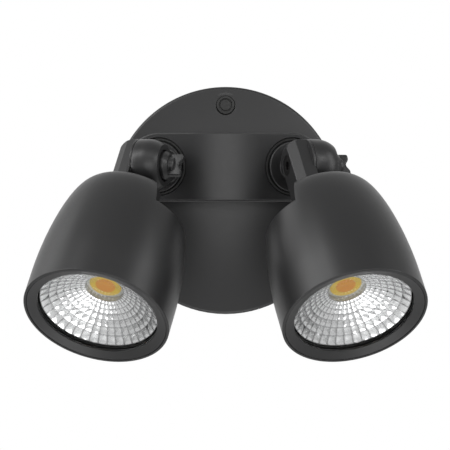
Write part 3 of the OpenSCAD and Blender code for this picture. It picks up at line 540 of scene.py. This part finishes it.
# %% The cover's sheet
def cover_sheet(inset, edge, hollow, rim):
    """Columns from the saddle's middle line out to the rim, all set back by inset: the saddle's top, its edge of
    radius edge, its wall, a hollow of radius hollow, the dome, and an edge of radius rim down to the foot."""
    reach = SADDLE_R - inset
    columns = []

    def add(offset, height_of):
        """One column, offset outwards from the saddle's middle line."""
        x, y = middle_x + offset * away_x, SADDLE_UP + offset * away_y
        columns.append(np.column_stack([x, y, height_of(x, y)]))

    for offset in np.concatenate([np.linspace(0, reach - edge - 0.2, 12), [reach - edge - 0.05]]):
        add(offset, lambda x, y: crown_height(x, inset))
    for turn in np.linspace(0, math.pi / 2, 7):
        add(reach - edge + edge * math.sin(turn), lambda x, y: crown_height(x, inset) - edge * (1 - math.cos(turn)))
    foot = reach + hollow
    for share in (0.01, 0.25, 0.5, 0.75, 0.99):
        add(reach, lambda x, y: (1 - share) * (crown_height(x, inset) - edge)
            + share * (dome_height(middle_x + foot * away_x, SADDLE_UP + foot * away_y, inset) + hollow))
    for turn in np.linspace(0, math.pi / 2, 6):
        add(reach + hollow * (1 - math.cos(turn)), lambda x, y: hollow * (1 - math.sin(turn))
            + dome_height(middle_x + foot * away_x, SADDLE_UP + foot * away_y, inset))
    ball, outer = DOME_R - inset, COVER_R - inset
    arc_x = outer - rim
    arc_z = DOME_MID + math.sqrt((ball - rim) ** 2 - arc_x ** 2)
    last = arc_x * ball / (ball - rim)
    start_x, start_y = middle_x + foot * away_x, SADDLE_UP + foot * away_y
    for share in np.concatenate([[0.02], np.linspace(0.08, 0.94, 13), [0.995, 1.0]]):
        x = (1 - share) * start_x + share * last * np.cos(ring_angle)
        y = (1 - share) * start_y + share * last * np.sin(ring_angle)
        columns.append(np.column_stack([x, y, dome_height(x, y, inset)]))
    lean = math.asin(last / ball)
    profile = [(arc_x + rim * math.sin(a), arc_z + rim * math.cos(a)) for a in np.linspace(lean, math.pi / 2, 8)[1:]]
    profile += [(outer, arc_z - 0.1), (outer, GASKET_T + 0.5)]
    for r, z in profile:
        columns.append(np.column_stack([r * np.cos(ring_angle), r * np.sin(ring_angle), 0 * ring_angle + z]))
    return np.stack(columns, 1)


outside = cover_sheet(inset=0.0, edge=0.9, hollow=0.8, rim=RIM_ROUND)
inside = cover_sheet(inset=COVER_WALL, edge=0.6, hollow=0.6, rim=0.8)
foot_r = np.array([COVER_R - 0.15, COVER_R - 0.5, COVER_R - COVER_WALL + 0.5, COVER_R - COVER_WALL + 0.15])
foot_z = GASKET_T + np.array([0.15, 0.0, 0.0, 0.15])
foot = np.stack([np.column_stack([r * np.cos(ring_angle), r * np.sin(ring_angle), 0 * ring_angle + z])
                 for r, z in zip(foot_r, foot_z)], 1)
cover = solid("cover", np.concatenate([outside, foot, inside[:, ::-1]], 1))
print("cover sheet:", len(cover.data.vertices), "points")

# %% [markdown]
# The two sockets are turned recesses with a hole for the arm's hollow tail. Each is cut by one turned shape whose
# profile flares out where it meets the saddle's face, so the cut leaves a small rounded lip. Behind each socket a
# boss carries the tail, and a smaller boss near the top carries the cover's screw.


# %% Bosses and sockets
def laid(grid, side):
    """A grid drawn along the arm's axis, in the cover's own directions."""
    origin, axes = PLACES["cover"]
    socket, arm_axes = PLACES[("left" if side < 0 else "right") + "_arm"]
    return (grid @ arm_axes + socket - origin) @ axes.T


BOSS_DEPTH, POST_R, POST_BACK, POST_FRONT = 8.0, 8.0, 6.0, 19.2
boss_profile = np.array([[0, -BOSS_DEPTH], [SEAT_R + 0.6, -BOSS_DEPTH], [SEAT_R + 0.6, -0.45], [0, -0.45]])
post_profile = np.array([[0, POST_BACK], [POST_R, POST_BACK], [POST_R, POST_FRONT], [0, POST_FRONT]])
seat = rounded([[0, -12], [TAIL_R + 0.15, -12], [TAIL_R + 0.15, -SEAT_DEPTH], [SEAT_R, -SEAT_DEPTH],
                [SEAT_R, -0.4], [SEAT_R + 0.4, 0.02], [SEAT_R + 0.4, 8], [0, 8]],
               [0, 0, 0.3, 0.5, 0.25, 0.15, 0, 0], steps=5, hold=0.04)
for side in SIDES.values():
    carve(cover, solid("boss", laid(turned(boss_profile, 64), side)), "UNION")
    carve(cover, solid("seat", laid(turned(seat, 128), side)), "DIFFERENCE")
screw_axis = np.array([0, SCREW_UP, 0])
carve(cover, solid("post", turned(post_profile, 48) + screw_axis), "UNION")
plug_z = float(dome_height(0, SCREW_UP))
SCREW_HOLE_R, SCREW_SEAT = 2.3, 10.1
hole = rounded([[0, 10.0], [SCREW_HOLE_R, 10.0], [SCREW_HOLE_R, SCREW_SEAT], [PLUG_R + 0.25, SCREW_SEAT],
                [PLUG_R + 0.25, plug_z - 0.3], [PLUG_R + 0.6, plug_z + 0.05], [PLUG_R + 0.6, plug_z + 5],
                [0, plug_z + 5]], [0, 0, 0, 0.2, 0.25, 0.1, 0, 0], steps=4, hold=0.03)
carve(cover, solid("hole", turned(hole, 96) + screw_axis), "DIFFERENCE")
put(cover, "cover_casting", "cover", "base", "black_coat", ["base_cover"])
bpy.data.objects.remove(cover)

# %% [markdown]
# The rubber plug that hides the cover's screw is a small turned button: a slightly domed disc, a groove around its
# middle, and a soft outer edge.

# %% Screw plug
top = plug_z + 0.05
button = rounded([[0, top - 0.05], [3.3, top - 0.1], [3.35, top - 0.75], [4.05, top - 0.75], [4.1, top],
                  [PLUG_R, top - 0.1], [PLUG_R, 13.0], [0, 13.0]],
                 [0, 0.25, 0.2, 0.2, 0.25, 0.35, 0.3, 0], steps=4, hold=0.03)
plug = solid("plug", turned(button, 72) + screw_axis)
put(plug, "screw_plug_button", "cover", "base", "plug_rubber", ["screw_plug"])
bpy.data.objects.remove(plug)

# %% [markdown]
# ## The arm
# The arm is cast in one piece and then machined: a hollow tail that turns in the cover, a round foot that closes the
# socket, a broad post beside the middle of the knuckle, and a barrel that is one half of the knuckle. The barrel is
# turned about the pin, and bulges like a ball on its outer side. The post is a stack of level outlines with soft
# corners, narrow at the foot and as wide as the barrel at the top, so a grid of those outlines gives it.


# %% Stacked outlines
def stacked(outlines):
    """A closed grid from outlines [n, 3] that lie one above the other, with both ends drawn in to their middles."""
    first, last = outlines[0], outlines[-1]
    rows = [first.mean(0) + 0 * first, *outlines, last.mean(0) + 0 * last]
    return np.stack(rows, 1)


BARREL_X = HALF_GAP - SPLIT_X
POST_X, POST_HALF, POST_FLARE = 11.6, 9.0, 1.2


def post_outline(z):
    """A box from the barrel's flat side to POST_X along the pin. Its half width goes from the foot's to the
    barrel's in a straight line, and widens by a quarter circle where it meets the foot."""
    share = np.clip((z - FOOT_H) / (PIVOT - 5.0 - FOOT_H), 0, 1)
    half_width = POST_HALF + (KNUCKLE_R - 0.8 - POST_HALF) * share
    low = np.clip((FOOT_H + POST_FLARE - z) / POST_FLARE, 0, 1)
    flare_out = POST_FLARE * (1 - math.sqrt(max(1 - low ** 2, 0)))
    inner, outer = BARREL_X + 0.03, POST_X + 0.6 * flare_out
    wide = half_width + flare_out
    flat = rounded([[inner, -wide], [outer, -wide], [outer, wide], [inner, wide]], [0.6, 4.2, 4.2, 0.6],
                   steps=8, hold=0.15, closed=True)
    return np.column_stack([flat, np.full(len(flat), z)])


# %% Arm casting
BULGE_X = 4.3
turn_profile = rounded(
    [[0, TAIL_END], [TAIL_R, TAIL_END], [TAIL_R, -SEAT_DEPTH], [FOOT_R, -SEAT_DEPTH], [FOOT_R, FOOT_H],
     [8.0, FOOT_H], [8.0, PIVOT - KNUCKLE_R - 0.8], [0, PIVOT - KNUCKLE_R - 0.8]],
    [0, 0.6, 0.1, 0.3, 0.7, 1.2, 0.8, 0], steps=6)
bulge = np.linspace(0, math.acos(math.sqrt(1 - ((KNUCKLE_X - BULGE_X) / KNUCKLE_R) ** 2)), 20)
ball = np.column_stack([KNUCKLE_R * np.cos(bulge), BULGE_X + KNUCKLE_R * np.sin(bulge)])
end = ball[-1]
barrel_profile = np.concatenate([
    [[0, BARREL_X], [KNUCKLE_R - 0.3, BARREL_X], [KNUCKLE_R - 0.09, BARREL_X + 0.09], [KNUCKLE_R, BARREL_X + 0.3],
     [KNUCKLE_R, 2.5], [KNUCKLE_R, 4.0]], ball[:-1],
    rounded([ball[-2], end, [end[0] - 2, KNUCKLE_X]], [0, 0.7, 0], steps=6, hold=0.05)[1:], [[0, KNUCKLE_X]]])
arm = solid("arm", turned(turn_profile, 128))
levels = np.concatenate([FOOT_H + np.array([-0.6, 0.0, 0.08, 0.2, 0.4, 0.7, POST_FLARE]),
                         np.linspace(FOOT_H + 3, PIVOT, 9)])
carve(arm, solid("post", stacked([post_outline(z) for z in levels])), "UNION")
pin_at = np.array([0, 0, PIVOT])
carve(arm, solid("barrel", about_pin(turned(barrel_profile, 160)) + pin_at), "UNION")
print("arm casting:", len(arm.data.vertices), "points")

# %% Bores of the arm
BORE_R = BOLT_R + 0.05
LEAD_R, LEAD_SIDE, LEAD_STOP, GROOVE_IN, GROOVE_OUT = 3.2, 3.0, 6.9, 5.9, 10.9
recess = rounded([[0, -4.0], [BORE_R, -4.0], [BORE_R, RECESS_X], [RECESS_R, RECESS_X], [RECESS_R, KNUCKLE_X],
                  [RECESS_R + 0.6, KNUCKLE_X + 0.5], [RECESS_R + 0.6, 20], [0, 20]],
                 [0, 0, 0.2, 0.4, 0.4, 0, 0, 0], steps=5, hold=0.04)
lead_groove = np.array([[GROOVE_IN, -4.0], [GROOVE_OUT, -4.0], [GROOVE_OUT, 2.8], [GROOVE_IN, 2.8]])
lead_hole = np.array([[0, TAIL_END - 1], [LEAD_R, TAIL_END - 1], [LEAD_R, PIVOT - LEAD_STOP], [0, PIVOT - LEAD_STOP]])
carve(arm, solid("recess", about_pin(turned(recess, 128)) + pin_at), "DIFFERENCE")
carve(arm, solid("groove", about_pin(turned(lead_groove, 96)) + pin_at, loop=True), "DIFFERENCE")
carve(arm, solid("lead", turned(lead_hole, 64) + np.array([LEAD_SIDE, 0, 0])), "DIFFERENCE")
put_on_both(arm, "arm_casting", "arm", "black_coat", "arm")

# %% [markdown]
# ## The knob
# The clamp knob is a small moulded thumbscrew: a round hub in the knuckle's recess, a nose over the bolt's end, and a
# flat wing across both. The wing's end has a shallow notch, which dips as one plus a cosine does. A wing with
# softened edges is a stack of its own outline, drawn in a little towards both faces.


# %% Drawn-in outlines
def drawn_in(outline, inset):
    """Every point of a closed outline moves to its left by inset, square to the line through its neighbours."""
    along = np.roll(outline, -1, 0) - np.roll(outline, 1, 0)
    along /= np.linalg.norm(along, axis=1)[:, None]
    return outline + inset * np.column_stack([-along[:, 1], along[:, 0]])


def cushion(outline, low, high, edge, steps=4):
    """The outline carried from low to high, with quarter circles of radius edge at both rims."""
    turn = np.linspace(0, math.pi / 2, steps + 1)
    inset = edge * (1 - np.sin(turn))
    rise = edge * (1 - np.cos(turn))
    insets = np.concatenate([inset, inset[::-1]])
    heights = np.concatenate([low + rise, high - rise[::-1]])
    return stacked([np.column_stack([drawn_in(outline, i), np.full(len(outline), z)])
                    for i, z in zip(insets, heights)])


# %% Clamp knob
HUB_END = KNUCKLE_X + HUB_LEN
WING_END = HUB_END + WING_LEN
NOSE_H, NOTCH_Y, NOTCH_POINTS = 3.0, 4.4, 19
hub_profile = rounded(
    [[0, RECESS_X + 0.05], [HUB_R, RECESS_X + 0.05], [HUB_R, KNUCKLE_X + 1.6], [HUB_R - 1.7, HUB_END],
     [5.0, HUB_END], [4.5, HUB_END + NOSE_H], [0, HUB_END + NOSE_H]],
    [0, 0.3, 1.4, 0.5, 0.4, 1.6, 0], steps=7)
notch_y = np.linspace(-NOTCH_Y, NOTCH_Y, NOTCH_POINTS)
notch = np.column_stack([WING_END - 1.0 - np.cos(math.pi * notch_y / NOTCH_Y), notch_y])
wing = rounded(np.concatenate([
    [[KNUCKLE_X + 0.6, -WING_Y + 1.5], [HUB_END - 1.0, -WING_Y], [WING_END, -WING_Y]],
    notch, [[WING_END, WING_Y], [HUB_END - 1.0, WING_Y], [KNUCKLE_X + 0.6, WING_Y - 1.5]]]),
    [1.2, 0, 1.4] + [0] * NOTCH_POINTS + [1.4, 0, 1.2], steps=6, hold=0.05, closed=True)
knob = solid("knob", about_pin(turned(hub_profile, 96)))
carve(knob, solid("wing", cushion(wing, -WING_T / 2, WING_T / 2, 0.7)), "UNION")
thread = np.array([[0, 0.0], [BORE_R, 0.0], [BORE_R, HUB_END + 1.6], [0, HUB_END + 1.6]])
carve(knob, solid("thread", about_pin(turned(thread, 48))), "DIFFERENCE")
put_on_both(knob, "wing_knob", "knob", "black_coat", "knob")

# %% [markdown]
# ## The head
# The head is a cast cup, straight near its mouth and closing over its back in a curve that the hood carries on
# above the knuckle. With the distance s from the open end, the radius falls from the mouth's to the hood's tip as
# one minus a power of the way gone, all to the inverse power. The cup and a hood that goes all the way round are
# turned as one profile. Then a wide wedge, whose own profile leaves a rounded rim behind, cuts the hood away
# everywhere but on top.


# %% Curve of the cup
def cup_r(s):
    """tip + (mouth - tip) * (1 - u^p)^(1/p), with u from 0 at the straight part's end to 1 at the hood's tip."""
    u = np.clip((np.asarray(s, float) - STRAIGHT) / (HOOD_S - STRAIGHT), 0, 1)
    return TIP_R + (HEAD_R - TIP_R) * (1 - u ** BELL_POWER) ** (1 / BELL_POWER)


POOL_DEPTH, POOL_T, BOARD_T, HEAT_PLATE_T, FLANGE_T = 2.8, 0.5, 1.2, 6.0, 1.0
PLATE_S = THROAT_S + POOL_DEPTH + POOL_T + BOARD_T
LEDGE_S = PLATE_S + HEAT_PLATE_T
POCKET_S = FLANGE_S + FLANGE_T
NECK_BASE = HEAD_LEN - BACK_S
s_out = STRAIGHT + (HOOD_S - STRAIGHT) * np.sin(np.linspace(0, math.pi / 2, 40))
outer_curve = np.column_stack([cup_r(s_out), HEAD_LEN - s_out])[::-1]
way = np.linspace(0, 1, 16)
root_r, tip_r, tip_z = cup_r(BACK_S) - HOOD_WALL, cup_r(HOOD_S), HEAD_LEN - HOOD_S
hood_in = np.column_stack([root_r - (root_r - tip_r + HOOD_WALL) * way ** 1.7,
                           NECK_BASE - (NECK_BASE - tip_z) * way])
mouth = rounded([[HEAD_R, HEAD_LEN - STRAIGHT], [HEAD_R, HEAD_LEN], [RING_R + 0.1, HEAD_LEN],
                 [RING_R + 0.1, HEAD_LEN - POCKET_S], [RING_R - 2.9, HEAD_LEN - POCKET_S],
                 [RING_R - 2.9, HEAD_LEN - LEDGE_S], [RING_R - 8.5, HEAD_LEN - LEDGE_S],
                 [RING_R - 8.5, HEAD_LEN - BACK_S + 4], [0, HEAD_LEN - BACK_S + 4]],
                [0, 0.55, 0.3, 0.1, 0.2, 0.1, 0.2, 1.0, 0], steps=5)
cup_profile = np.concatenate([
    rounded([[0, NECK_BASE], hood_in[0], hood_in[1]], [0, 0.5, 0], steps=5)[:-1], hood_in[1:-1],
    rounded([hood_in[-2], hood_in[-1], [tip_r, tip_z]], [0, 0.5, 0], steps=5)[1:], outer_curve[1:-1], mouth])
print("cup profile:", len(cup_profile), "points, hood's tip at radius", round(float(tip_r), 1), "mm")

# %% Cutting the hood free
cup = solid("cup", turned(cup_profile, 240))
RIM_H, WEDGE_R = 1.63, 70
rim_s = BACK_S - 1.6
rim_edge, rim_inner = cup_r(rim_s), cup_r(BACK_S) - 1.5
turn = np.linspace(0, math.pi / 2, 8)
rim_arc = np.column_stack([rim_inner + (rim_edge - rim_inner) * np.sin(turn[::-1]),
                           HEAD_LEN - rim_s - RIM_H + RIM_H * (1 - np.cos(turn[::-1]))])
wedge_profile = np.concatenate([
    [[0, 20], [WEDGE_R, 20], [WEDGE_R, HEAD_LEN - rim_s], [rim_edge + 0.05, HEAD_LEN - rim_s]],
    rim_arc[1:], [[0, rim_arc[-1, 1]]]])
low_angle, high_angle = math.pi / 2 + HOOD_ANGLE, 5 * math.pi / 2 - HOOD_ANGLE
wedge_grid = turned(wedge_profile, 121, low_angle, high_angle)
hub_low, hub_high = ([WEDGE_R / 2 * math.cos(a), WEDGE_R / 2 * math.sin(a), 40.0] + 0 * wedge_grid[0]
                     for a in (low_angle, high_angle))
wedge_grid = np.concatenate([hub_low[None], wedge_grid, hub_high[None]])
carve(cup, solid("wedge", wedge_grid, ring=False, loop=True), "DIFFERENCE")
print("cup with its hood:", len(cup.data.vertices), "points")

# %% [markdown]
# The head's own half of the knuckle is the end of a straight neck. The neck has flat sides that meet in soft edges,
# and those edges run on past the pin, up to a rounded end. So the ear is what a turned shape and the neck have in
# common, next to a thin turned disc that covers the joint. Nearer the cup the neck takes the full width, and widens
# in a small hollow where it meets the cup, as castings do. A soft-edged block cuts away the half in which the arm's
# barrel turns. The ear lies on the other side of the pin's middle, so its turned shapes get a half turn about y.


# %% Ear and neck of the head
NECK_FLARE = 2.5


def neck_outline(z):
    """The neck's level outline with softened corners, widened by a quarter circle next to the cup."""
    side = np.array([[0, 12.3], [3.3, 12.0], [9.0, 10.7], [KNUCKLE_X, 7.0]])
    right = np.concatenate([side, side[::-1] * [1, -1]])
    whole = np.concatenate([right, right[1:-1][::-1] * [-1, 1]])[::-1]
    low = np.clip((z - NECK_BASE + NECK_FLARE) / NECK_FLARE, 0, 1)
    grow = 1 + NECK_FLARE * (1 - math.sqrt(max(1 - low ** 2, 0))) / 12.0
    flat = rounded(whole * grow, 1.1, steps=4, hold=0.1, closed=True)
    return np.column_stack([flat, np.full(len(flat), z)])


HALF_X = SPLIT_X + HALF_GAP
EAR_X, EAR_DROP, DISC_R = 4.5, 6.2, KNUCKLE_R - 0.7
climb = np.linspace(0, math.pi / 2, 18)
ear_curve = np.column_stack([KNUCKLE_R - EAR_DROP * (1 - np.cos(climb)), EAR_X + (KNUCKLE_X - EAR_X) * np.sin(climb)])
ear_profile = np.concatenate([[[0, HALF_X + 0.2], [KNUCKLE_R, HALF_X + 0.2], [KNUCKLE_R, 3.6]], ear_curve,
                              [[ear_curve[-1, 0] - 0.4, KNUCKLE_X], [0, KNUCKLE_X]]])
disc_profile = rounded([[0, HALF_X], [DISC_R, HALF_X], [DISC_R, HALF_X - 0.42], [KNUCKLE_R, HALF_X - 0.42],
                        [KNUCKLE_R, HALF_X + 0.9], [0, HALF_X + 0.9]], [0, 0, 0.1, 0.1, 0.3, 0], steps=3, hold=0.03)
to_ear = np.array([-1.0, 1.0, -1.0])
levels = np.concatenate([[0.0, 8.0, 16.0, 24.0, 32.0, 40.0],
                         NECK_BASE - NECK_FLARE * np.cos(np.linspace(0, math.pi / 2, 8)), [49.0]])
neck = solid("neck", stacked([neck_outline(z) for z in levels]))
swing = rounded([[-HALF_X, -20], [30, -20], [30, KNUCKLE_R + 1.5], [-HALF_X, KNUCKLE_R + 1.5]], [0, 0, 0, 1.2],
                closed=True)
swing = prism(swing, -30, 30)[..., [0, 2, 1]]
carve(neck, solid("swing", swing), "DIFFERENCE")
ear = solid("ear", about_pin(turned(ear_profile, 160)) * to_ear)
upper = stacked([neck_outline(z) for z in (-20.0, 0.5)])
carve(ear, solid("upper", upper), "INTERSECT")
carve(ear, solid("disc", about_pin(turned(disc_profile, 160)) * to_ear), "UNION")
carve(neck, ear, "UNION")
carve(cup, neck, "UNION")
print("head casting:", len(cup.data.vertices), "points")

# %% Bores of the head
SCREW_CIRCLE, TAP_R = 35.8, 1.65
seat_at = KNUCKLE_X - BOLT_HEAD_H - 0.45
bolt_seat = rounded([[0, -3.0], [BORE_R, -3.0], [BORE_R, seat_at], [BOLT_HEAD_R + 0.1, seat_at],
                     [BOLT_HEAD_R + 0.1, KNUCKLE_X], [BOLT_HEAD_R + 0.7, KNUCKLE_X + 0.5],
                     [BOLT_HEAD_R + 0.7, 20], [0, 20]], [0, 0, 0.1, 0.1, 0.4, 0, 0, 0], steps=5, hold=0.03)
ear_groove = np.array([[GROOVE_IN, 0.0], [GROOVE_OUT, 0.0], [GROOVE_OUT, 5.8], [GROOVE_IN, 5.8]])
head_lead = np.array([[0, LEAD_STOP], [LEAD_R, LEAD_STOP], [LEAD_R, NECK_BASE + 6], [0, NECK_BASE + 6]])
carve(cup, solid("bolt_seat", about_pin(turned(bolt_seat, 96)) * to_ear), "DIFFERENCE")
carve(cup, solid("groove", about_pin(turned(ear_groove, 96)) * to_ear, loop=True), "DIFFERENCE")
carve(cup, solid("lead", turned(head_lead, 64) - np.array([6.0, 0, 0])), "DIFFERENCE")
for hole in range(3):
    turn = math.radians(30 + 120 * hole)
    at = SCREW_CIRCLE * np.array([math.cos(turn), math.sin(turn), 0])
    drill = np.array([[0, HEAD_LEN - LEDGE_S - 7], [TAP_R, HEAD_LEN - LEDGE_S - 7], [TAP_R, HEAD_LEN], [0, HEAD_LEN]])
    carve(cup, solid("drill", turned(drill, 32) + at), "DIFFERENCE")
put_on_both(cup, "head_casting", "head", "black_coat", "housing")

# %% [markdown]
# ## The front ring
# A dished ring holds the glass. It lies a hair below the cup's lip, slopes inwards to the mouth, and has soft edges.

# %% Front ring
HOLD_R = MOUTH_R + 2.8
FACE = HEAD_LEN - 0.2
ring_profile = rounded(
    [[RING_R, FACE], [MOUTH_R, FACE - MOUTH_DISH], [MOUTH_R, HEAD_LEN - GLASS_S], [HOLD_R, HEAD_LEN - GLASS_S],
     [HOLD_R, HEAD_LEN - FLANGE_S], [RING_R, HEAD_LEN - FLANGE_S]], [0.35, 0.45, 0.15, 0.1, 0.3, 0.4],
    steps=6, hold=0.06, closed=True)
ring = solid("ring", turned(ring_profile, 200), loop=True)
put_on_both(ring, "dished_ring", "head", "black_coat", "front_ring")

# %% [markdown]
# ## The reflector
# Behind the glass sits the part that catches the eye: a bright bowl, pressed into forty columns and seven rows of
# small pillows. The bowl is a parabola, and the rows widen towards the front. Inside every cell the surface swells
# towards the light by one minus the square of the way from its middle, in both directions, so neighbours meet in a
# crease. The crease stays crisp, because the shading is split wherever the surface bends by more than a few degrees.
# Every point stores how near it is to a crease: 0 in the middle of its cell and 1 on the crease, for the painted shade
# that the finish puts into the creases.
# The shell's back follows the bowl at the wall's thickness, and its flange is clamped behind the glass.


# %% Faceted bowl
COLUMNS, ROWS, SAMPLES, SWELL = 40, 7, 6, 0.40


def bowl_z(r):
    """The parabola through the throat and the bowl's rim, as height along the head's axis."""
    share = (r ** 2 - THROAT_R ** 2) / (REFLECTOR_R ** 2 - THROAT_R ** 2)
    return HEAD_LEN - THROAT_S + REFLECTOR_H * share


row_edge = np.arange(ROWS + 1)
row_edge = row_edge + 0.07 * row_edge * (row_edge - 1)
row_edge = THROAT_R + (REFLECTOR_R - THROAT_R) * row_edge / row_edge[-1]
u = np.arange(COLUMNS * SAMPLES) / SAMPLES
v = np.arange(ROWS * SAMPLES + 1) / SAMPLES
radius = np.interp(v, np.arange(ROWS + 1), row_edge)[None, :]
height = np.interp(radius, row_edge, bowl_z(row_edge))
flat_side = math.cos(math.pi / COLUMNS) / np.cos((u % 1 - 0.5) * 2 * math.pi / COLUMNS)
angle = (u * 2 * math.pi / COLUMNS)[:, None]
across = 1 - (2 * (u % 1) - 1)[:, None] ** 2
along = 1 - (2 * (v % 1) - 1)[None, :] ** 2
size = np.minimum(np.gradient(radius[0])[None, :] * SAMPLES, 2 * math.pi * radius / COLUMNS)
swell = SWELL * across * along * size / 5.0
slope = np.arctan2(np.gradient(height[0]), np.gradient(radius[0]))[None, :]
bowl_r = radius * flat_side[:, None] - swell * np.sin(slope)
bowl = np.stack([bowl_r * np.cos(angle), bowl_r * np.sin(angle), height + swell * np.cos(slope)], -1)
print("bowl:", COLUMNS * ROWS, "pillows on", bowl.shape[0] * bowl.shape[1], "points")

# %% Reflector shell
WALL_OUT, WALL_BACK = 0.96, 1.2
back_r = np.concatenate([[RING_R - 0.05, RING_R - 0.05, REFLECTOR_R + 2.0], row_edge[:0:-1] + WALL_OUT,
                         [THROAT_R + 2.1]])
back_s = np.concatenate([[FLANGE_S, POCKET_S, POCKET_S], HEAD_LEN - bowl_z(row_edge[:0:-1]) + WALL_BACK, [THROAT_S]])
back = turned(np.column_stack([back_r, HEAD_LEN - back_s]), COLUMNS * SAMPLES)
rim = turned(np.array([[REFLECTOR_R + 0.4, HEAD_LEN - FLANGE_S]]), COLUMNS * SAMPLES)
reflector = solid("reflector", np.concatenate([bowl, rim, back], 1), loop=True)
spots = points_of(reflector.data)
column = np.arctan2(spots[:, 1], spots[:, 0]) * COLUMNS / (2 * math.pi)
row = np.interp(np.hypot(spots[:, 0], spots[:, 1]), row_edge, np.arange(ROWS + 1))
store(reflector, "near_crease", np.maximum(abs(2 * (column % 1) - 1), abs(2 * (row % 1) - 1)))
put_on_both(reflector, "faceted_bowl", "head", "reflector_metal", "reflector", crisp=9)

# %% [markdown]
# ## The light source
# The chips lie under a pool of silicone inside a white plastic holder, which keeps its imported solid. The silicone is
# a flat yellow ring with a slightly raised middle. Every point of it stores its distance from the axis, for the
# finish made above.

# %% Silicone
POOL_Z, POOL_R, RAISED = HEAD_LEN - THROAT_S - POOL_DEPTH, 9.5, 0.2
silicone_profile = rounded([[0, POOL_Z + RAISED], [5.8, POOL_Z + RAISED], [5.95, POOL_Z], [9.45, POOL_Z - 0.02],
                            [POOL_R, POOL_Z - POOL_T], [0, POOL_Z - POOL_T]],
                           [0, 0.12, 0.12, 0.2, 0, 0], steps=4, hold=0.03)
pool = solid("silicone", turned(silicone_profile, 96))
store(pool, "from_middle", np.hypot(*points_of(pool.data)[:, :2].T))
put_on_both(pool, "silicone_pool", "head", "led_phosphor", "led_phosphor")

# %% [markdown]
# ## The front glass
# The glass is a plain disc with a ground edge.

# %% Front glass
low, high = HEAD_LEN - GLASS_S - GLASS_T, HEAD_LEN - GLASS_S
GLASS_R = MOUTH_R + 2.7
glass_profile = rounded([[0, low], [GLASS_R, low], [GLASS_R, high], [0, high]], [0, 0.25, 0.25, 0], steps=4, hold=0.1)
disc = solid("disc", turned(glass_profile, 128))
put_on_both(disc, "glass_disc", "head", "front_glass", "front_glass")

# %% [markdown]
# ## Floor
# A wall lamp hangs about a person's height above the ground, so the pale floor lies 1.75 m below it. Its paint looks
# a little brighter to the camera, to glass and to mirrors, and sends no more light to the lamp than plain paint does.

# %% Floor
HALF, FLOOR_Z = 3, -1.75
floor_mesh = bpy.data.meshes.new("floor")
corners = [(-HALF, -HALF, FLOOR_Z), (HALF, -HALF, FLOOR_Z), (HALF, HALF, FLOOR_Z), (-HALF, HALF, FLOOR_Z)]
floor_mesh.from_pydata(corners, [], [(0, 1, 2, 3)])
tree = FINISH["floor"].node_tree
rays = tree.nodes.new("ShaderNodeLightPath")
seen = maths(tree, "MAXIMUM", rays.outputs["Is Camera Ray"], rays.outputs["Is Transmission Ray"])
seen = maths(tree, "MAXIMUM", seen, rays.outputs["Is Glossy Ray"])
paint = tree.nodes["Principled BSDF"]
paint.inputs["Emission Color"].default_value = (0.52, 0.52, 0.52, 1)
tree.links.new(seen, paint.inputs["Emission Strength"])
floor_mesh.materials.append(FINISH["floor"])
floor = bpy.data.objects.new("floor", floor_mesh)
bpy.context.scene.collection.objects.link(floor)
